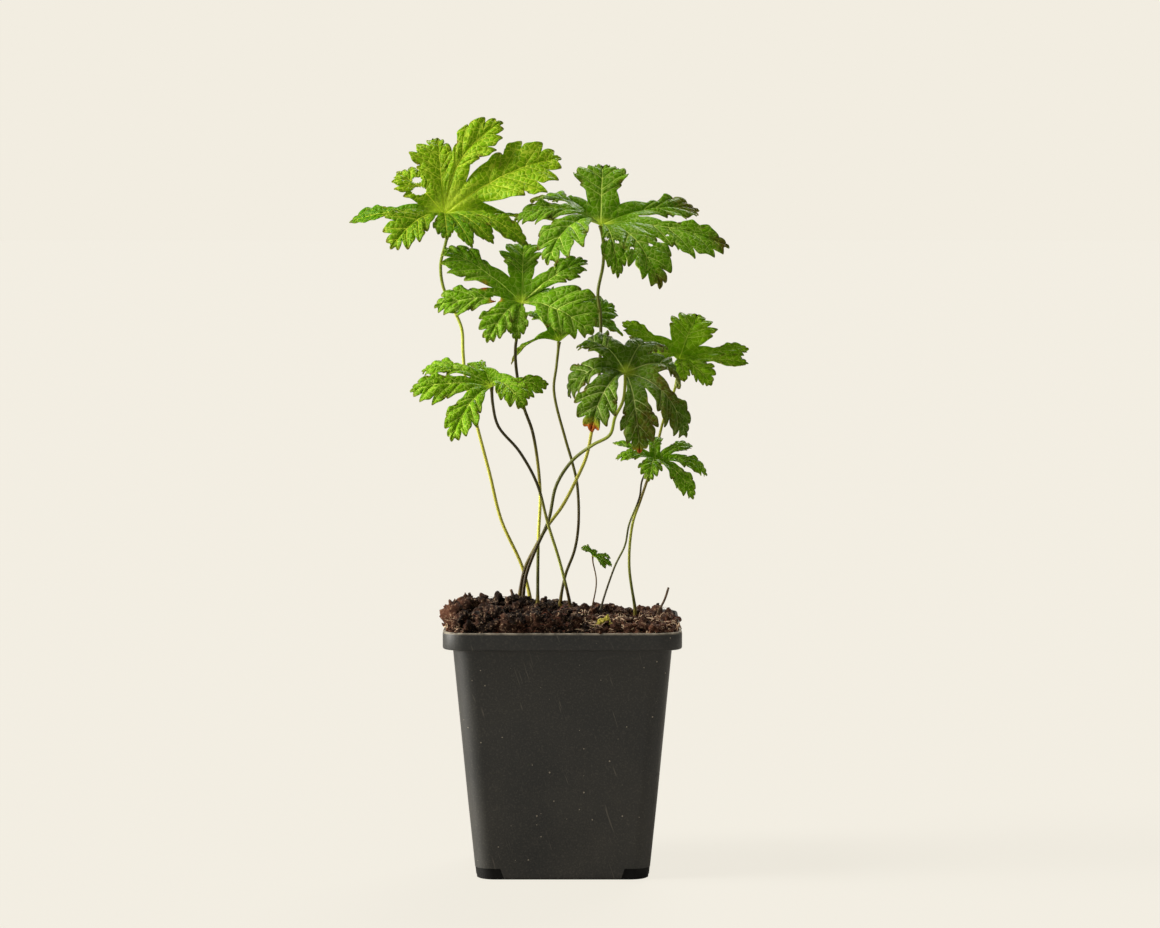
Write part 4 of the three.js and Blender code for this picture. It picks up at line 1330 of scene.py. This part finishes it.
    def strands(self, rng, name, count, material, where):
        """Thin curled strands that lie on the crumbs, some with a loose end in the air."""
        points, cells, first = [], [], 0
        for _ in range(count):
            x, y = where(rng)
            long, turn, bend = rng.uniform(1.5, 7.5), rng.uniform(0, 2 * math.pi), rng.gauss(0, 1.6)
            thick, lift = rng.uniform(0.06, 0.2), rng.random() ** 3 * 3.2
            start = self.ground(x, y)
            steps, path = 7, []
            for k in range(steps + 1):
                t = k / steps
                heading = turn + bend * t
                low = self.ground(*self.inside(x, y))
                path.append((x, y, max(low + 0.15, start + 0.2 + lift * math.sin(math.pi * 0.8 * t))))
                x, y = self.inside(x + math.cos(heading) * long / steps,
                                   y + math.sin(heading) * long / steps)
            path = np.array(path)
            path[1:-1] = (path[:-2] + path[2:] + 2 * path[1:-1]) / 4
            along = unit(np.gradient(path, axis=0) + 1e-6)
            side = unit(np.cross(along, LEANING))
            up = np.cross(side, along)
            taper = np.linspace(1.0, 0.4, len(path))[:, None] * thick
            ring = [path + taper * (side * math.cos(a) + up * math.sin(a)) for a in THREE_WAYS]
            points.append(np.stack(ring, axis=1).reshape(-1, 3))
            for k in range(len(path) - 1):
                for j in range(3):
                    a, b = first + 3 * k + j, first + 3 * k + (j + 1) % 3
                    cells.append((a, b, b + 3, a + 3))
            last = first + 3 * (len(path) - 1)
            cells += [(first + 2, first + 1, first), (last, last + 1, last + 2)]
            first += 3 * len(path)
        piece = mesh_piece(name, np.vstack(points) * MM, cells)
        face_outwards(piece)
        piece.data.materials.append(material)
        finish_piece(piece)


class GERANIUM_OT_leaf(bpy.types.Operator):
    """Makes one leaf: its lobed, toothed blade and the stalk that carries it"""

    bl_idname = "geranium.leaf"
    bl_label = "Leaf"
    leaf: StringProperty(name="Leaf", description="Which leaf to make", default="leaf_top")

    def execute(self, context):
        leaf = LEAVES[self.leaf]
        upper, under = (bpy.data.materials.get("living leaf, " + leaf["blade"] + end)
                        for end in ("", " underside"))
        if upper is None:
            face, deep, vein, through, back, net, gloss = BLADES[leaf["blade"]]
            upper = blade_material(leaf["blade"], face, deep, vein, through, net, gloss, False)
            under = blade_material(leaf["blade"], back, face, vein, through, net, gloss, True)
        blade = make_blade(self.leaf, leaf, [upper, under])
        blade.name = blade.data.name = self.leaf + "_finish"
        top = np.array(leaf["hub"], float) - unit(np.array(leaf["face"], float)) * 0.1
        skin = stalk_material(self.leaf.replace("leaf_", "").replace("_", " "), leaf["stalk"])
        hair = bpy.data.materials.get("plant hairs") or hair_material()
        stalk = make_stalk(self.leaf, [tuple(top), *leaf["route"]], leaf["foot"], leaf["radius"], skin,
                           1.25, hair)
        choose(blade, stalk)
        bpy.ops.object.join()
        finish_piece(blade, [self.leaf])
        return {"FINISHED"}


class GERANIUM_OT_stubs(bpy.types.Operator):
    """Makes the short dead stalks left in the compost"""

    bl_idname = "geranium.stubs"
    bl_label = "Dead stalks"

    def execute(self, context):
        material = dead_stalk_material()
        for name, stub in STUBS.items():
            piece = make_stalk(name, stub["route"], stub["foot"], stub["radius"], material, 0.8)
            piece.name = piece.data.name = name + "_finish"
            finish_piece(piece, [name])
        return {"FINISHED"}


class GERANIUM_OT_stage(bpy.types.Operator):
    """Sets the pale floor, the soft lights and the camera"""

    bl_idname = "geranium.stage"
    bl_label = "Stage"

    def execute(self, context):
        s = context.scene.stage
        deselect()
        bpy.ops.mesh.primitive_plane_add(size=60, location=(0, 0, 0))
        floor = context.object
        floor.name = "floor"
        floor.data.materials.append(paper_material())

        world = bpy.data.worlds.new("room")
        context.scene.world = world
        world.use_nodes = True
        tree = world.node_tree
        tree.nodes.clear()
        seen = node(tree, "ShaderNodeLightPath").outputs["Is Camera Ray"]
        room = node(tree, "ShaderNodeBackground", {0: ROOM_COLOUR, 1: s.sky})
        paper = node(tree, "ShaderNodeBackground", {0: s.paper, 1: 1.0})
        both = node(tree, "ShaderNodeMixShader", {0: seen, 1: room.outputs[0], 2: paper.outputs[0]})
        node(tree, "ShaderNodeOutputWorld", {0: both.outputs[0]})

        for name, energy, towards, spread in (("key", s.key, (-0.68, -0.2, 0.75), 22),
                                              ("side", s.side, (-1.0, -0.04, 0.1), 30),
                                              ("fill", s.fill, (0.9, -0.5, 0.35), 60),
                                              ("back", s.back, (0.2, 0.8, 0.65), 30)):
            light = bpy.data.lights.new(name, "SUN")
            light.energy, light.angle = energy, math.radians(spread)
            light.color = LAMP_COLOUR
            lamp = bpy.data.objects.new(name, light)
            lamp.rotation_euler = Vector(towards).to_track_quat("Z", "Y").to_euler()
            context.scene.collection.objects.link(lamp)

        camera = bpy.data.cameras.new("camera")
        camera.lens, camera.sensor_width, camera.clip_end = LENS, SENSOR, FARTHEST
        view = bpy.data.objects.new("camera", camera)
        view.location = CAMERA
        view.rotation_euler = (Vector(AIM) - view.location).to_track_quat("-Z", "Y").to_euler()
        context.scene.collection.objects.link(view)
        context.scene.camera = view
        context.scene.view_settings.view_transform = "Standard"
        return {"FINISHED"}


class GERANIUM_PT_panel(bpy.types.Panel):
    """Lists the pieces of the plant in the sidebar"""

    bl_idname = "GERANIUM_PT_panel"
    bl_label = "Hardy geranium"
    bl_space_type = "VIEW_3D"
    bl_region_type = "UI"
    bl_category = "Geranium"

    def draw(self, context):
        for label, group in (("Pot", "pot"), ("Compost", "compost"), ("Leaves", "leaf"),
                             ("Stage", "stage")):
            box = self.layout.box()
            box.label(text=label)
            settings = getattr(context.scene, group)
            for name in settings.bl_rna.properties.keys():
                if name not in ("rna_type", "name"):
                    box.prop(settings, name)
        for kind in OPERATORS:
            self.layout.operator(kind.bl_idname)


OPERATORS = (GERANIUM_OT_pot, GERANIUM_OT_compost, GERANIUM_OT_litter, GERANIUM_OT_leaf,
             GERANIUM_OT_stubs, GERANIUM_OT_stage)
SETTINGS = {"pot": PotSettings, "compost": CompostSettings, "leaf": LeafSettings, "stage": StageSettings}


def register():
    for kind in (*SETTINGS.values(), *OPERATORS, GERANIUM_PT_panel):
        bpy.utils.register_class(kind)
    for name, kind in SETTINGS.items():
        setattr(bpy.types.Scene, name, PointerProperty(type=kind))


def unregister():
    for name in SETTINGS:
        delattr(bpy.types.Scene, name)
    for kind in reversed((*SETTINGS.values(), *OPERATORS, GERANIUM_PT_panel)):
        bpy.utils.unregister_class(kind)


def main():
    register()
    bpy.ops.geranium.stage()
    bpy.ops.geranium.pot()
    bpy.ops.geranium.compost()
    bpy.ops.geranium.litter()
    for name in LEAVES:
        bpy.ops.geranium.leaf(leaf=name)
    bpy.ops.geranium.stubs()
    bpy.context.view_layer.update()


if __name__ == "__main__":
    main()
